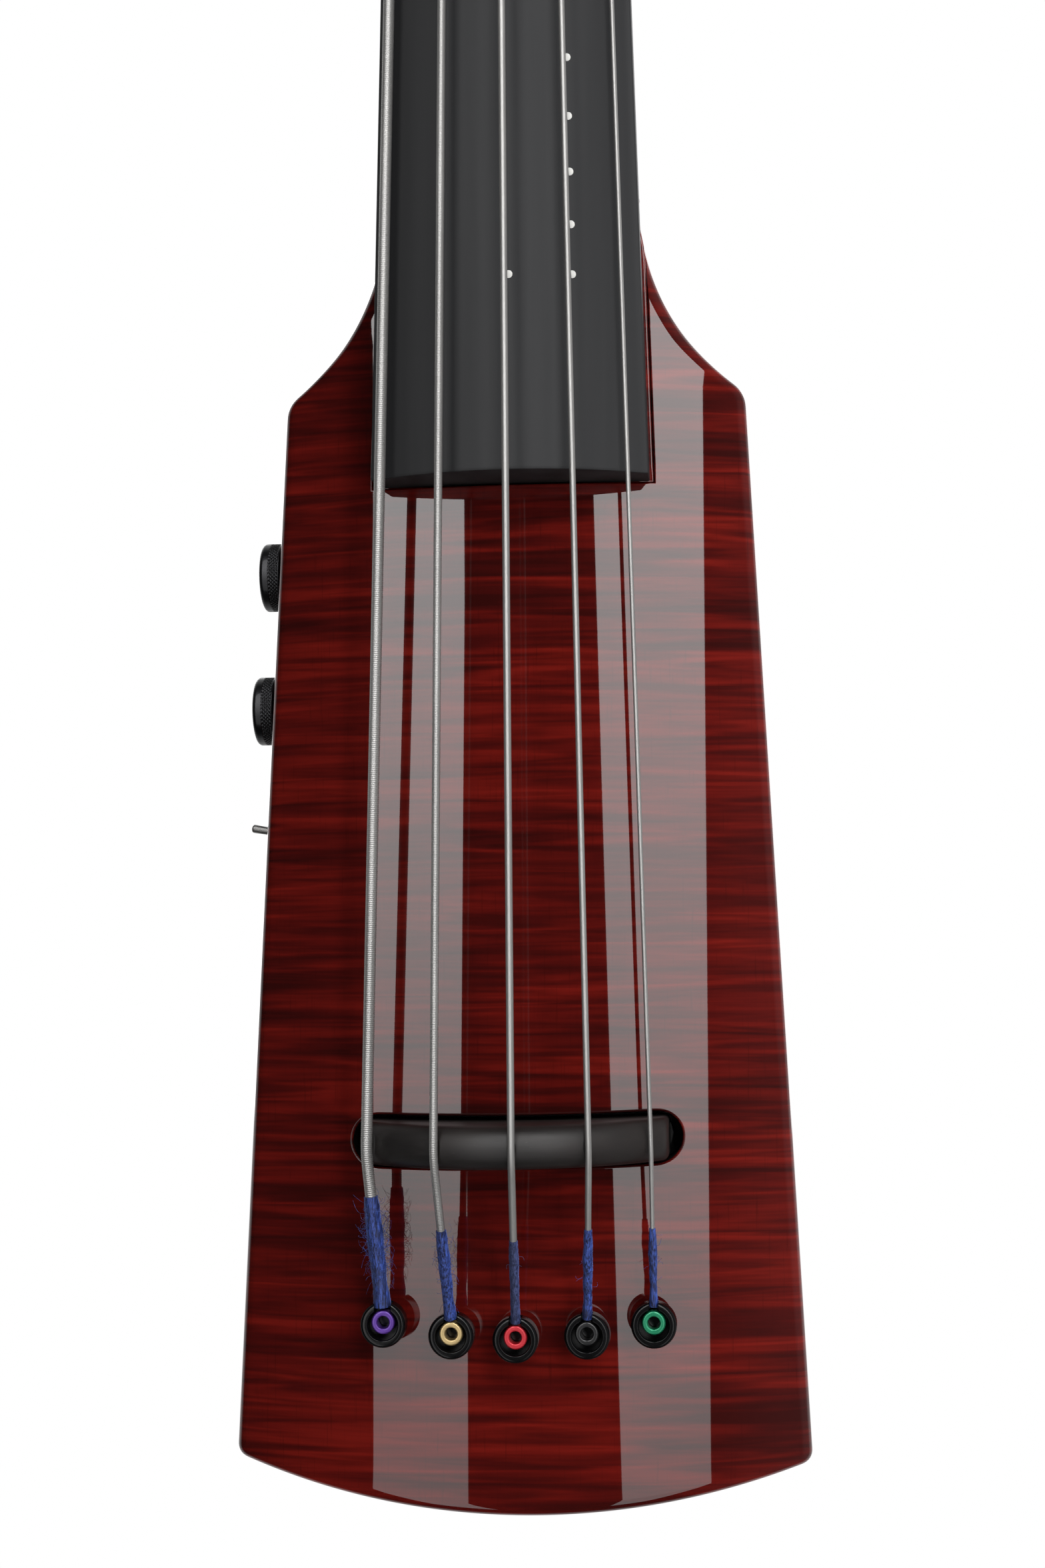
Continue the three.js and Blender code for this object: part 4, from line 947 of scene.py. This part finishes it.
def make_shaft():
    """The neck from inside the heel to inside the headstock, where it narrows and gets thinner."""
    inset, low_depth, high_depth, end_depth = 0.2, 33, 24, 13
    low_overlap, high_overlap, tail, narrowing = 20, 4, 30, 4
    start = (BODY.top - BOARD.end) / math.cos(NECK_ANGLE) - low_overlap
    end = NUT_END + high_overlap
    rings = []
    for k in range(41):
        along = mix(start, end, k / 40)
        rings.append(shaft_section(along, board_half(along) - inset, mix(low_depth, high_depth, k / 40)))
    for k in range(1, 9):
        share = k / 8
        half = board_half(end - start) - inset - narrowing * share
        rings.append(shaft_section(end + tail * share, half, mix(high_depth, end_depth, smooth(share))))
    blank = make("blank", rings_mesh(rings), NECK, NECK_MAPLE, 50)
    in_front = cutter(block(-60, 60, -60, 0, GAP, 90), HEAD, NECK_MAPLE)
    settle(carve("neck_shaft", blank, [in_front]), ["neck"])


def head_outline():
    """The headstock's outline: a straight start, a shoulder, long tapering sides and a round end."""

    def side(z):
        return 41 - z * 0.03, z

    length = HEADSTOCK.length
    bend = side(length - HEADSTOCK.corner)
    points = [(0, 1.2)] + line((0, 1.2), (22, 1.2), 8)
    points += quadratic((22, 1.2), (23, 12), (33, 23), 12)
    points += quadratic((33, 23), (41, 30), side(42), 12)
    points += line(side(42), bend, 24)
    points += quadratic(bend, (33, length - 2), (18, length - 1), 12)
    points += quadratic((18, length - 1), (8, length), (0, length), 8)
    return points + mirrored(points[1:-1])


def make_headstock():
    thickness, hole = HEADSTOCK.thickness, POST.radius + POST.collar + GAP
    shape = plate(head_outline(), 0, -thickness, HEADSTOCK.edge_round, HEADSTOCK.edge_round, 7)
    blank = make("blank", shape, HEAD, NECK_MAPLE, 60)
    holes = []
    for string in STRINGS:
        x, z = string.post
        holes.append(drill(hole, -thickness - 5, 5, "y", 32, (x, 0, z), HEAD, CAVITY))
    settle(carve("headstock", blank, holes), ["neck"])


def board_crown(along):
    return mix(BOARD.crown_end, BOARD.crown_nut, along / NECK_LENGTH)


def board_section(along, inset):
    """The fingerboard's section: an arch with softened edges over straight sides and a flat bottom."""
    soft = 0.7
    wide = mix(BOARD.half_end, BOARD.half_nut, along / NECK_LENGTH) - inset
    crown = board_crown(along) - inset
    across = [mix(wide - soft, soft - wide, k / 48) for k in range(49)]
    top = [(x, -(crown - drop(x, BOARD.radius))) for x in across]
    edge = crown - drop(wide - soft, BOARD.radius)
    turns = [math.pi / 2 * k / 5 for k in range(1, 6)]
    round_left = [(-wide + soft - soft * math.sin(a), -(edge - soft * (1 - math.cos(a)))) for a in turns]
    low_left = [(-wide, -mix(edge - soft, inset, k / 4)) for k in range(1, 5)]
    bottom = [(mix(-wide, wide, k / 12), -inset) for k in range(1, 12)]
    path = top + round_left + low_left + bottom + mirrored(low_left) + mirrored(round_left)
    return [(x, y, along) for x, y in path]


def make_fingerboard():
    """The board, with dots beside the D string and, at the octaves, beside the A string."""
    soften = [(0.0, 0.6), (0.18, 0.18), (0.6, 0.0), (1.2, 0.0)]
    stops = soften + [(mix(1.2, NECK_LENGTH - 1.2, k / 60), 0.0) for k in range(1, 60)]
    stops += [(NECK_LENGTH - along, inset) for along, inset in reversed(soften)]
    rings = [board_section(along, inset) for along, inset in stops]
    board = make("fingerboard_blank", rings_mesh(rings), NECK, EBONY, 25)
    settle(board, ["fingerboard"])
    for semitone in range(1, 25):
        along = (SCALE_LENGTH / 2 ** (semitone / 12) - BOARD.end) / math.cos(NECK_ANGLE)
        if semitone in (3, 5, 7, 9, 12, 15, 17) or semitone >= 19:
            add_dot(semitone, STRINGS[3], along, 0.75)
        if semitone in (12, 24):
            add_dot(semitone, STRINGS[2], along, 0.5)


def add_dot(semitone, string, along, shift):
    """A thin round inlay, its middle a little to the treble side of the string."""
    radius, proud, bridge_z = 1.25, 0.06, -2.5
    z = BOARD.end + along * math.cos(NECK_ANGLE)
    x = mix(string.bridge, string.nut, (z - bridge_z) / SCALE_LENGTH)
    x += shift * mix(1.0, 0.3, along / BOARD.length)
    crown = board_crown(along) - drop(x, BOARD.radius)
    face = crown + proud
    profile = fillet([(0, crown - 1), (radius, crown - 1), (radius, face, 0.05), (0, face)], 2)
    dot = make(f"dot_{string.name}_{semitone}", turned(profile, "y", 24, (x, 0, along)), NECK, SHELL)
    settle(dot)


def make_nut():
    half = BOARD.half_nut

    def section(z, inset):
        across = [mix(half - inset, inset - half, k / 30) for k in range(31)]
        path = [(x, -(nut_height(x) - inset)) for x in across] + [(inset - half, 0), (half - inset, 0)]
        return [(x, y, z) for x, y in path]

    front = NUT_END - NUT.thickness
    stops = [(front, 0.3), (front + 0.3, 0), (NUT_END - 2.2, 0), (NUT_END - 0.9, 0.35), (NUT_END, 1.2)]
    blank = make("blank", rings_mesh([section(z, inset) for z, inset in stops]), NECK, NUT_EBONY)
    grooves = []
    for string in STRINGS:
        clearance = string.radius + GAP
        middle = nut_height(string.nut) + lifted(string.nut, BOARD.radius, clearance)
        grooves.append(drill(clearance + 0.1, NUT_END - 9, NUT_END + 2, "z", 20, (string.nut, -middle, 0),
                             NECK, NUT_EBONY))
    settle(carve("nut_block", blank, grooves), ["nut"])


def make_rod_cover():
    face = GAP + 2
    right = [(9, 6), *quadratic((9, 6), (8, 24), (0, 34), 14)]
    shape = plate(right + mirrored(right[:-1]), face, GAP, 0.5, 0.1, 4, 4)
    settle(make("rod_cover", shape, HEAD, COVER, 50), ["truss_rod_cover"])
    for i, (x, z) in enumerate([(-6, 9.5), (6, 9.5), (0, 28.5)]):
        screw = screw_head(f"rod_cover_screw_{i + 1}", 1.7, 0.55, (x, -face, z), HEAD, BLACK_METAL)
        settle(screw)


# ---------------------------------------------------------------- screws

def cross_head(name, profile, segments, at, out, arm, wide, low, high, place, material, angle):
    """A screw with a cross cut between two heights. out is 1 for a head that faces -y, or -1 for +y."""
    x0, y0, z0 = at
    verts, faces = turned(profile, "y", segments)
    shape = [(x0 + x, y0 + out * y, z0 + z) for x, y, z in verts], faces
    blank = make("blank", shape, place, material, angle)
    ends = sorted((y0 - out * high, y0 - out * low))
    tools = []
    for long_x, long_z in ((arm, wide), (wide, arm)):
        bar = block(x0 - long_x, x0 + long_x, *ends, z0 - long_z, z0 + long_z)
        tools.append(cutter(bar, place, material))
    return carve(name, blank, tools, 40)


def screw_head(name, radius, rise, at, place, material, out=1):
    """A domed cross-head screw that stands on a surface."""
    profile = fillet([(0, -0.2), (radius, -0.2), (radius, rise * 0.35, 0.15), (radius * 0.6, rise * 0.9, 0.5),
                      (0, rise)], 4)
    return cross_head(name, profile, 32, at, out, radius * 0.55, radius * 0.14, rise - rise * 0.5, rise + 1,
                      place, material, 45)


def sunk_screw(name, radius, x, z, face, material):
    """A countersunk cross-head screw in the back, its head's face at the height face."""
    shank = radius * 0.5
    profile = fillet([(0, -0.02), (radius * 0.82, -0.02, 0.1), (radius, 0.18, 0.12), (radius, 0.5),
                      (shank, radius * 0.62), (shank, 6), (0, 6)], 3)
    profile = [(r, -along) for r, along in profile]
    return cross_head(name, profile, 36, (x, -face, z), -1, radius * 0.55, radius * 0.13, -radius * 0.4, 1,
                      INSTRUMENT, material, 40)


# ---------------------------------------------------------------- bridge

def bridge_section(x, inset):
    """Across the bridge at x: straight sides and a rounded ridge, all of it smaller by inset."""
    crown = bridge_height(x) - inset
    low = crown - BRIDGE.round
    d = BRIDGE.thickness / 2 - inset
    turns = [math.pi * k / 20 for k in range(21)]
    ridge = [(math.cos(a) * d, low + BRIDGE.round * math.sin(a)) for a in turns]
    side = [(-d, mix(low, BRIDGE.foot, k / 6)) for k in range(1, 6)]
    foot = [(-d, BRIDGE.foot), (d, BRIDGE.foot)]
    return [(x, -h, z) for z, h in ridge + side + foot + mirrored(side)]


def make_bridge():
    half = BRIDGE.length / 2
    ends = [(0.0, 1.6), (0.25, 0.85), (0.8, 0.25), (1.6, 0.0)]
    stops = [(-half + d, inset) for d, inset in ends]
    stops += [(mix(-half + 1.6, half - 1.6, k / 60), 0.0) for k in range(1, 60)]
    stops += [(half - d, inset) for d, inset in reversed(ends)]
    verts, faces = rings_mesh([bridge_section(x, inset) for x, inset in stops])
    seated = [(x, y, z + seat_z(x)) for x, y, z in verts]
    blank = make("blank", (seated, faces), INSTRUMENT, BRIDGE_WOOD, 50)
    tools = []
    for string in STRINGS:
        x, clearance = string.bridge, string.radius + GAP
        middle = bridge_height(x) + lifted(x, BRIDGE.radius, clearance)
        tools.append(drill(clearance + 0.55, -10, 10, "z", 28, (x, -middle, 0), INSTRUMENT, BRIDGE_WOOD))
    for x in (-BRIDGE.screw_x, BRIDGE.screw_x):
        tools.append(drill(2.8, -6, 9.6, "y", 24, (x, 0, seat_z(x)), INSTRUMENT, BRIDGE_WOOD))
    settle(carve("bridge_bar", blank, tools, 40), ["bridge"])


# ---------------------------------------------------------------- anchors, ball ends, strings

def make_anchor(string):
    """A waisted post in the top, hollow at its end, with a slot for its string."""
    x, h, z = anchor_place(string)
    height, cap, recess = ANCHOR.height, ANCHOR.cap_radius, ANCHOR.recess
    low, floor_height = height - ANCHOR.cap_height, height - ANCHOR.recess_depth
    profile = fillet([
        (0, -ANCHOR.depth), (ANCHOR.stem, -ANCHOR.depth), (ANCHOR.stem, ANCHOR.foot),
        (ANCHOR.foot_radius, ANCHOR.foot, 0.2), (ANCHOR.foot_radius, low / 2, 0.6), (cap - 0.9, low, 0.6),
        (cap, low + 1.6, 0.8), (cap, height, 1.5), (recess + 0.2, height, 0.25), (recess, height - 0.6, 0.2),
        (recess, floor_height), (0, floor_height),
    ], 6)
    blank = make("blank", turned(profile, "y", 72, (x, -h, z)), INSTRUMENT, GLOSS_BLACK, 45)
    slot_half = string.radius + 0.8
    deep = height - BALL.sink - BALL.length / 2 - slot_half
    opening = block(x - slot_half, x + slot_half, -h - height - 1, -h - deep, z, z + cap + 1)
    anchor = carve(f"anchor_{string.name}", blank, [cutter(opening, INSTRUMENT, GLOSS_BLACK)], 40)
    settle(anchor, [f"string_anchor_{string.name}"])


def make_ball(string):
    """The coloured ball end: a ring with a groove round its middle."""
    x, h, z = anchor_place(string)
    outer, bore, top = BALL.radius, BALL.hole, ANCHOR.height - BALL.sink
    low = top - BALL.length
    middle = low + BALL.length / 2
    profile = fillet([
        (bore, middle), (bore, low, 0.5), (outer, low, 0.6), (outer, middle - 1.2, 0.5),
        (outer - 0.55, middle), (outer, middle + 1.2, 0.5), (outer, top, 0.6), (bore, top, 0.45),
        (bore, middle),
    ], 6)
    ring = turned(profile, "y", 56, (x, -h, z + BALL.shift))
    ball = make(f"ball_{string.name}", ring, INSTRUMENT, BALLS[string.ball], 45)
    settle(ball, [f"ball_end_{string.name}"])


def to_instrument(place, point):
    return INSTRUMENT.inverted() @ place @ Vector(point)


def wound_on_post(string, pitch):
    """The turns of a string round its post."""
    x, z = string.post
    radius = POST.radius + string.radius + GAP + GAP
    steps = 32
    winding = []
    for step in range(int(POST.turns * steps) + 1):
        turn = step / steps
        height = POST.wind_height - (turn - 1) * pitch
        place_x = x - string.side * radius * math.cos(2 * math.pi * turn)
        place_z = z + radius * math.sin(2 * math.pi * turn)
        winding.append(to_instrument(HEAD, (place_x, -height, place_z)))
    return winding


def string_path(string):
    """The string's corner points: ball end, bridge, nut, and the winding on its post."""
    clearance = string.radius + GAP
    x, h, z = anchor_place(string)
    tail = Vector((x, -(h + ANCHOR.height - BALL.sink - BALL.length / 2), z + BALL.shift))
    ridge_height = bridge_height(string.bridge) + lifted(string.bridge, BRIDGE.radius, clearance)
    ridge = Vector((string.bridge, -ridge_height, BRIDGE.ridge_z + seat_z(string.bridge)))
    nut_y = -nut_height(string.nut) - lifted(string.nut, BOARD.radius, clearance)
    nut_front, nut_back = [to_instrument(NECK, (string.nut, nut_y, along))
                           for along in (NUT_END - NUT.thickness, NUT_END)]
    start = tail + (ridge - tail).normalized() * (BALL.radius + BALL.string_gap)
    winding = wound_on_post(string, 0.8 * (2 * string.radius + 0.25))
    return start, ridge, nut_front, nut_back, winding


def bent(a, corner, b, reach, steps=8):
    """A short round bend in place of a corner."""
    start = corner + (a - corner).normalized() * reach
    end = corner + (b - corner).normalized() * reach
    return [start * (1 - t) ** 2 + corner * (2 * t * (1 - t)) + end * t * t
            for t in [k / steps for k in range(steps + 1)]]


def make_string(string):
    """A string, with the windings of the two thick ones as real ridges."""
    start, ridge, nut_front, nut_back, winding = string_path(string)
    path = [start, *bent(start, ridge, nut_front, 3.5), nut_front, nut_back, *winding]
    if string.ridged:
        groove = string.pitch / 2 * 0.42
        points = spaced(path, string.pitch / 4)
        radii = [string.radius - groove * (1, 0.12, 0, 0.12)[i % 4] for i in range(len(points))]
        shape = tube(points, radii, 9)
    else:
        shape = tube(spaced(path, 2.5), string.radius, 16)
    made = make(f"string_wound_{string.name}", shape, INSTRUMENT, wound_steel(f"winding_{string.name}"), 80)
    settle(made, [f"string_{string.name}"])
    make_silk(string, start, ridge)


def make_silk(string, start, ridge):
    """The silk whipping over the string's tail, lumpy and a little wider than the string, with its
    loose fibres."""
    chance = random.Random("silk " + string.name)
    material = SILK_WORN if string.name == "a" else SILK
    share = (string.silk - start.z) / (ridge.z - start.z)
    steps, sides = 70, 28
    points, radii = [], []
    phase = chance.uniform(0, 6)
    for k in range(steps + 1):
        t = k / steps
        lump = math.sin(t * 9 + phase) * 0.3 + math.sin(t * 23 + phase * 2) * 0.2
        lump += chance.uniform(-0.16, 0.16)
        waist = 1 - 0.5 * smooth((t - 0.88) / 0.12)
        neck = 0.75 + 0.45 * math.exp(-((t - 0.03) / 0.08) ** 2) + 0.25 * math.exp(-((t - 0.7) / 0.2) ** 2)
        radii.append(string.radius + 0.06 + string.swell * (neck + lump * 0.4) * waist)
        points.append(start.lerp(ridge, share * t))
    wander = chance.uniform(-1, 1) * 0.12
    for k, point in enumerate(points):
        point.x += wander * math.sin(k * 0.31 + phase) * min(1, k / 6) * min(1, (steps - k) / 10)
    smooth_verts, faces = tube(points, radii, sides)
    verts = []
    for i, vert in enumerate(smooth_verts):
        ring, side = divmod(i, sides)
        strand = 0.05 * math.sin(side * 2.69 + ring * 0.4) + chance.uniform(-0.02, 0.02)
        verts.append(points[ring] + (Vector(vert) - points[ring]) * (1 + strand))
    silk = make(f"silk_{string.name}", (verts, faces), INSTRUMENT, material, 70)
    settle(silk)
    fibres = loose_fibres(string, chance, start, (ridge - start).normalized(), (ridge - start).length * share)
    fuzz = make(f"silk_fibres_{string.name}", joined(*fibres), INSTRUMENT, material, 80)
    settle(fuzz)


def loose_fibres(string, chance, start, along, length):
    """Thin curled fibres that stand out of the silk, more of them past its middle."""
    longest = 3.4 if string.name == "b" else 2.4
    across = along.orthogonal().normalized()
    fibres = []
    for _ in range(string.fuzz):
        t = chance.betavariate(3.4, 2.4)
        turn = chance.uniform(0, 2 * math.pi)
        out = (across * math.cos(turn) + along.cross(across) * math.sin(turn)).normalized()
        root = start + along * (length * t) + out * (string.radius + 0.2)
        curl = chance.choice((-1, 1)) * chance.uniform(0.5, 1.4)
        reach = chance.uniform(0.8, longest)
        lean = along * chance.uniform(-1.5, 1.5)
        bend = out.cross(along) * curl
        spine = [root + (out * s + lean * s * s + bend * math.sin(s * 2.6) * 0.7) * reach
                 for s in [k / 8 for k in range(9)]]
        fibres.append(tube(spine, 0.045, 4))
    return fibres


# ---------------------------------------------------------------- tuning machines

def make_post(string):
    """The post with its gear in one piece, and the bushing round it on the headstock's face."""
    x, z = string.post
    gear_back = GEAR.front + GEAR.thickness
    radius, flange, height = POST.radius, POST.flange, POST.height
    collar, rim = radius + POST.collar, flange - 0.7
    profile = fillet([
        (0, -gear_back), (GEAR.radius, -gear_back, 0.3), (GEAR.radius, -GEAR.front, 0.3),
        (collar, -GEAR.front), (collar, GAP), (flange, GAP, 0.2), (flange, 1.5, 0.5), (radius, 3.2, 0.8),
        (radius, height - 4.2, 0.8), (rim, height - 2, 0.5), (rim, height, 0.8), (0, height),
    ], 5)
    blank = make("blank", turned(profile, "y", 48, (x, 0, z)), HEAD, CHROME, 40)
    opening = block(x - POST.slot, x + POST.slot, -height - 1, -height + POST.slot_depth, z - flange - 1,
                    z + flange + 1)
    post = carve(f"post_{string.name}", blank, [cutter(opening, HEAD, CHROME)], 40)
    name = f"tuner_post_{string.name}"
    settle(post, [name], name)
    profile = fillet([(5.5, 0.02), (8.4, 0.02), (8.4, 0.22, 0.15), (5.5, 0.24)], 3)
    ring = turned([*profile, profile[0]], "y", 48, (x, 0, z))
    settle(make(f"bushing_{string.name}", ring, HEAD, CHROME, 40))


def key_shaft(first):
    """The worm and the shaft with its collar, along +x. first is where the button starts."""
    half = WORM.length / 2
    profile = [(0, -half)]
    for k in range(61):
        at = mix(-half, half, k / 60)
        profile.append((WORM.radius - WORM.tooth * (0.5 + 0.5 * math.cos(at * 2 * math.pi / WORM.pitch)), at))
    collar = fillet([(2, first - 3.0), (3.1, first - 2.6, 0.4), (3.1, first + 0.4, 0.6),
                     (2.2, first + 1.4, 0.4), (2.0, first + 3)], 4)
    return turned([*profile, (2, half), *collar, (0, first + 3)], "x", 32)


def key_button(first):
    """The button: a thick waisted leaf with round edges."""
    half_length, thick, count = BUTTON.length / 2, BUTTON.thickness / 2, 48
    rings = []
    for k in range(25):
        t = math.sin(math.pi * (k / 24 - 0.5))
        inset = BUTTON.edge * (1 - math.sqrt(max(0.0, 1 - t * t)) ** 0.5)
        ring = []
        for j in range(count):
            a = 2 * math.pi * j / count
            lobe = 1 - 0.16 * math.cos(2 * a) ** 2 * (1 if math.cos(a) > 0 else 0.6)
            x = first + half_length + (half_length - inset) * math.cos(a)
            z = (BUTTON.half * 0.93 - inset) * math.sin(a) * (lobe + 0.12 * math.cos(a))
            ring.append((x, thick * t, z))
        rings.append(ring)
    return rings_mesh(rings)


def make_key(string):
    """The key, built along +x and turned for its side."""
    x, z = string.post
    first = BUTTON.start - abs(x)
    verts, faces = joined(key_shaft(first), key_button(first))
    sided = [(string.side * vx, vy, string.side * vz) for vx, vy, vz in verts]
    place = HEAD @ Matrix.Translation((x, WORM_DEPTH, z + WORM_OFFSET))
    name = f"tuner_key_{string.name}"
    settle(make(f"key_{string.name}", (sided, faces), place, CHROME, 35), [name], name)


def make_housing(string):
    """The cover of a gear and its worm on the headstock's back, with four screws."""
    x, z = string.post
    back = HEADSTOCK.thickness + GAP
    face = back + HOUSING.depth
    half = HOUSING.width / 2
    far = WORM_OFFSET + WORM.radius + HOUSING.margin
    outline = rounded_rectangle(-half, half, -half + 1, far, HOUSING.corner, 7)
    shape = plate(outline, -back, -face, 0.2, 1.6, 4, 5)
    place = HEAD @ Matrix.Translation((x, 0, z))
    blank = make("blank", shape, place, CHROME, 50)
    worm = (0, WORM_DEPTH, WORM_OFFSET)
    shaft_ends = sorted((0, string.side * (half + 1)))
    tools = [
        drill(8.5, -GEAR.front - GEAR.thickness - 0.5, 0, "y", 40, (0, 0, 0), place, CAVITY),
        drill(3.5, -5.5, 5.5, "x", 28, worm, place, CAVITY),
        drill(2.3, *shaft_ends, "x", 24, worm, place, CAVITY),
    ]
    housing = carve(f"housing_{string.name}", blank, tools)
    settle(housing, [f"tuner_housing_{string.name}"])
    for i, (dx, dz) in enumerate([(-8.6, -7.6), (8.6, -7.6), (-8.6, far - 3.6), (8.6, far - 3.6)]):
        name = f"housing_screw_{string.name}_{i + 1}"
        settle(screw_head(name, 1.7, 0.7, (x + dx, face, z + dz), HEAD, STEEL, -1))


# ---------------------------------------------------------------- controls

def wall_place(z):
    """The frame of a control in the bass side: +x points out of the wall."""
    return INSTRUMENT @ Matrix.Translation((-side_x(z), -CONTROLS.h, z)) @ Matrix.Rotation(math.pi, 4, "Z")


def make_knob(name, z):
    """A metal knob with a diamond-knurled side and a plain domed end, and its washer."""
    radius, start, count = KNOB.radius, KNOB.standoff, KNOB.around
    end = start + KNOB.thickness
    inner = -WALL - 2 + GAP
    band_start, band_end = start + 0.8, end - 2.9

    def ring(r, at, knurl=0.0):
        made = []
        climb = math.pi * (at - band_start) / KNOB.rise
        for k in range(count):
            a = 2 * math.pi * k / count
            turn = a * KNOB.diamonds / 2
            valley = min(abs(math.sin(turn + climb)), abs(math.sin(turn - climb)))
            cut = r - knurl * KNOB.cut * (1 - valley ** 0.7)
            made.append((at, cut * math.cos(a), cut * math.sin(a)))
        return made

    skirt = [(3, inner), (3, start), (radius - 0.9, start), (radius - 0.35, start + 0.18),
             (radius - 0.1, start + 0.55)]
    dome = fillet([(radius, band_end + 0.05), (radius, end - 0.1, 2.7), (radius - 5, end)], 10)
    dish = [(radius - 5.6, end - 0.02), (radius - 5.9, end - 0.18), (radius - 6.2, end - 0.2)]
    rings = [[(inner, 0, 0)], *[ring(r, at) for r, at in skirt]]
    for k in range(KNOB.rows + 1):
        share = k / KNOB.rows
        rings.append(ring(radius, mix(band_start, band_end, share), min(1, share * 8, (1 - share) * 8)))
    rings += [ring(r, at) for r, at in dome + dish]
    rings.append([(end - 0.2, 0, 0)])
    knob = make(f"{name}_knob_knurled", rings_mesh(rings), wall_place(z), KNOB_METAL, 50)
    settle(knob, [f"{name}_knob"], f"{name}_knob")
    profile = fillet([(4.3, 0.05), (8.2, 0.05), (8.2, 0.6, 0.2), (4.3, 0.6)], 3)
    washer = make(f"{name}_washer", turned([*profile, profile[0]], "x", 48), wall_place(z), BLACK_METAL, 40)
    settle(washer)


def make_switch():
    """The toggle switch's threaded bushing and its lever, at rest in one of its two positions."""
    place = wall_place(CONTROLS.switch)
    bore, root, thread, inner = 2.05, 2.72, 3.0, -4.0
    profile = [(bore, inner), (2.9, inner)]
    profile += [(thread if k % 2 else root, mix(-3.5, 1.35, k / 12)) for k in range(13)]
    profile += [(2.75, 1.5), (bore, 1.5), (bore, inner)]
    settle(make("switch_bushing", turned(profile, "x", 40), place, NICKEL, 25))
    ball, neck, tip, length = LEVER.ball, LEVER.neck, LEVER.tip, LEVER.length
    profile = [(0, -ball)]
    profile += [(ball * math.sin(a), -ball * math.cos(a)) for a in [math.pi * k / 16 for k in range(1, 14)]]
    profile += fillet([
        (neck, ball + 0.4), (neck + 0.05, ball + 1.4, 2), (tip, length - 1.2, 3),
        (tip * 0.97, length - 0.35, 0.6), (tip * 0.5, length, 0.5), (0, length),
    ], 6)
    tilted = place @ Matrix.Translation((-1, 0, 0)) @ Matrix.Rotation(-math.radians(LEVER.tilt), 4, "Y")
    lever = make("toggle_lever", turned(profile, "x", 40), tilted, LEVER_METAL, 50)
    settle(lever, ["mode_switch_lever"], "mode_switch_lever")


def make_jack():
    profile = fillet([
        (0, -30), (5.5, -30), (5.5, -1.0), (8, -1.0, 0.1), (8, 0.5, 0.35), (4.4, 0.5, 0.2), (4.0, 0.1, 0.2),
        (3.3, 0.05, 0.2), (3.3, -25.5), (0, -25.5),
    ], 4)
    jack = make("jack_socket", turned(profile, "x", 48), wall_place(CONTROLS.jack), BLACK_METAL, 35)
    settle(jack, ["output_jack"])


# ---------------------------------------------------------------- back

def screw_seat(x, z, face, radius, material):
    """A cutter for a countersunk screw in the back."""
    shank = radius * 0.55
    profile = [(0, face - 1), (radius, face - 1), (radius, face + 0.4), (shank, face + radius * 0.62),
               (shank, face + 9), (0, face + 9)]
    return cutter(turned(profile, "y", 32, (x, 0, z)), INSTRUMENT, material)


def screwed_panel(name, node, shape, material, spots, screws):
    """A panel on the back with countersunk screws. screws has their name, radius, face and material."""
    blank = make("blank", shape, INSTRUMENT, material, 50)
    seats = [screw_seat(x, z, screws.face, screws.radius + 0.3, material) for x, z in spots]
    settle(carve(name, blank, seats + screws.holes), [node])
    for i, (x, z) in enumerate(spots):
        screw = sunk_screw(f"{screws.name}_head_{i + 1}", screws.radius, x, z, screws.face, screws.material)
        settle(screw, [f"{screws.name}_{i + 1}"])


def make_cover():
    back = -BODY.depth
    shape = plate(cavity_outline(LEDGE - GAP), back + LEDGE - GAP, back, 0.1, 0.45, 6, 4)
    spots = []
    for z in (88, 199):
        spots += [(-(side_x(z) - WALL) + 5, z), (-27, z)]
    screws = Sizes(name="cover_screw", radius=2.6, face=back + 0.2, material=BLACK_METAL, holes=[])
    screwed_panel("cover_panel", "control_cover", shape, COVER, spots, screws)


def make_stand_plate():
    """The plate on the back, with two chamfered holes for the stand's bolts."""
    face = -BODY.depth - PLATE.proud
    half_width, half_height = PLATE.width / 2, PLATE.height / 2
    outline = rounded_rectangle(
        -half_width, half_width, PLATE.z - half_height, PLATE.z + half_height, PLATE.corner, 10)
    shape = plate(outline, face + PLATE.thickness, face, 0.1, 0.7, 6, 5)
    spots = [(x, PLATE.z + rise) for x in (-29, 29) for rise in (-19, 19)]
    chamfer = BOLT.radius + 0.9
    hole = [(0, face - 1), (chamfer, face - 1), (BOLT.radius, face + 0.6), (BOLT.radius, face + 8),
            (0, face + 8)]
    holes = [cutter(turned(hole, "y", 48, (x, 0, PLATE.z)), INSTRUMENT, STEEL) for x in (-BOLT.x, BOLT.x)]
    screws = Sizes(name="plate_screw", radius=3.8, face=face + 0.3, material=STEEL, holes=holes)
    screwed_panel("plate_block", "stand_plate", shape, PLATE_BLACK, spots, screws)


# ---------------------------------------------------------------- CAD pieces that stay

def dress_cad_nodes():
    """The pieces inside the body keep their CAD shape and get a finer material."""
    looks = {
        "truss_rod": STEEL, "pickup_bar": PICKUP, "bridge_screw_bass": STEEL, "bridge_screw_treble": STEEL,
        "volume_pot": STEEL, "tone_pot": STEEL, "mode_switch": NICKEL, "pickup_lead": RUBBER,
        "jack_lead": RUBBER,
    }
    for name, material in looks.items():
        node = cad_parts[name]
        node.data.materials.clear()
        node.data.materials.append(material)


camera()
studio()
floor()
make_body()
make_heel()
make_shaft()
make_headstock()
make_fingerboard()
make_nut()
make_rod_cover()
make_bridge()
for string in STRINGS:
    make_anchor(string)
    make_ball(string)
    make_string(string)
    make_post(string)
    make_key(string)
    make_housing(string)
make_knob("volume", CONTROLS.volume)
make_knob("tone", CONTROLS.tone)
make_switch()
make_jack()
make_cover()
make_stand_plate()
dress_cad_nodes()
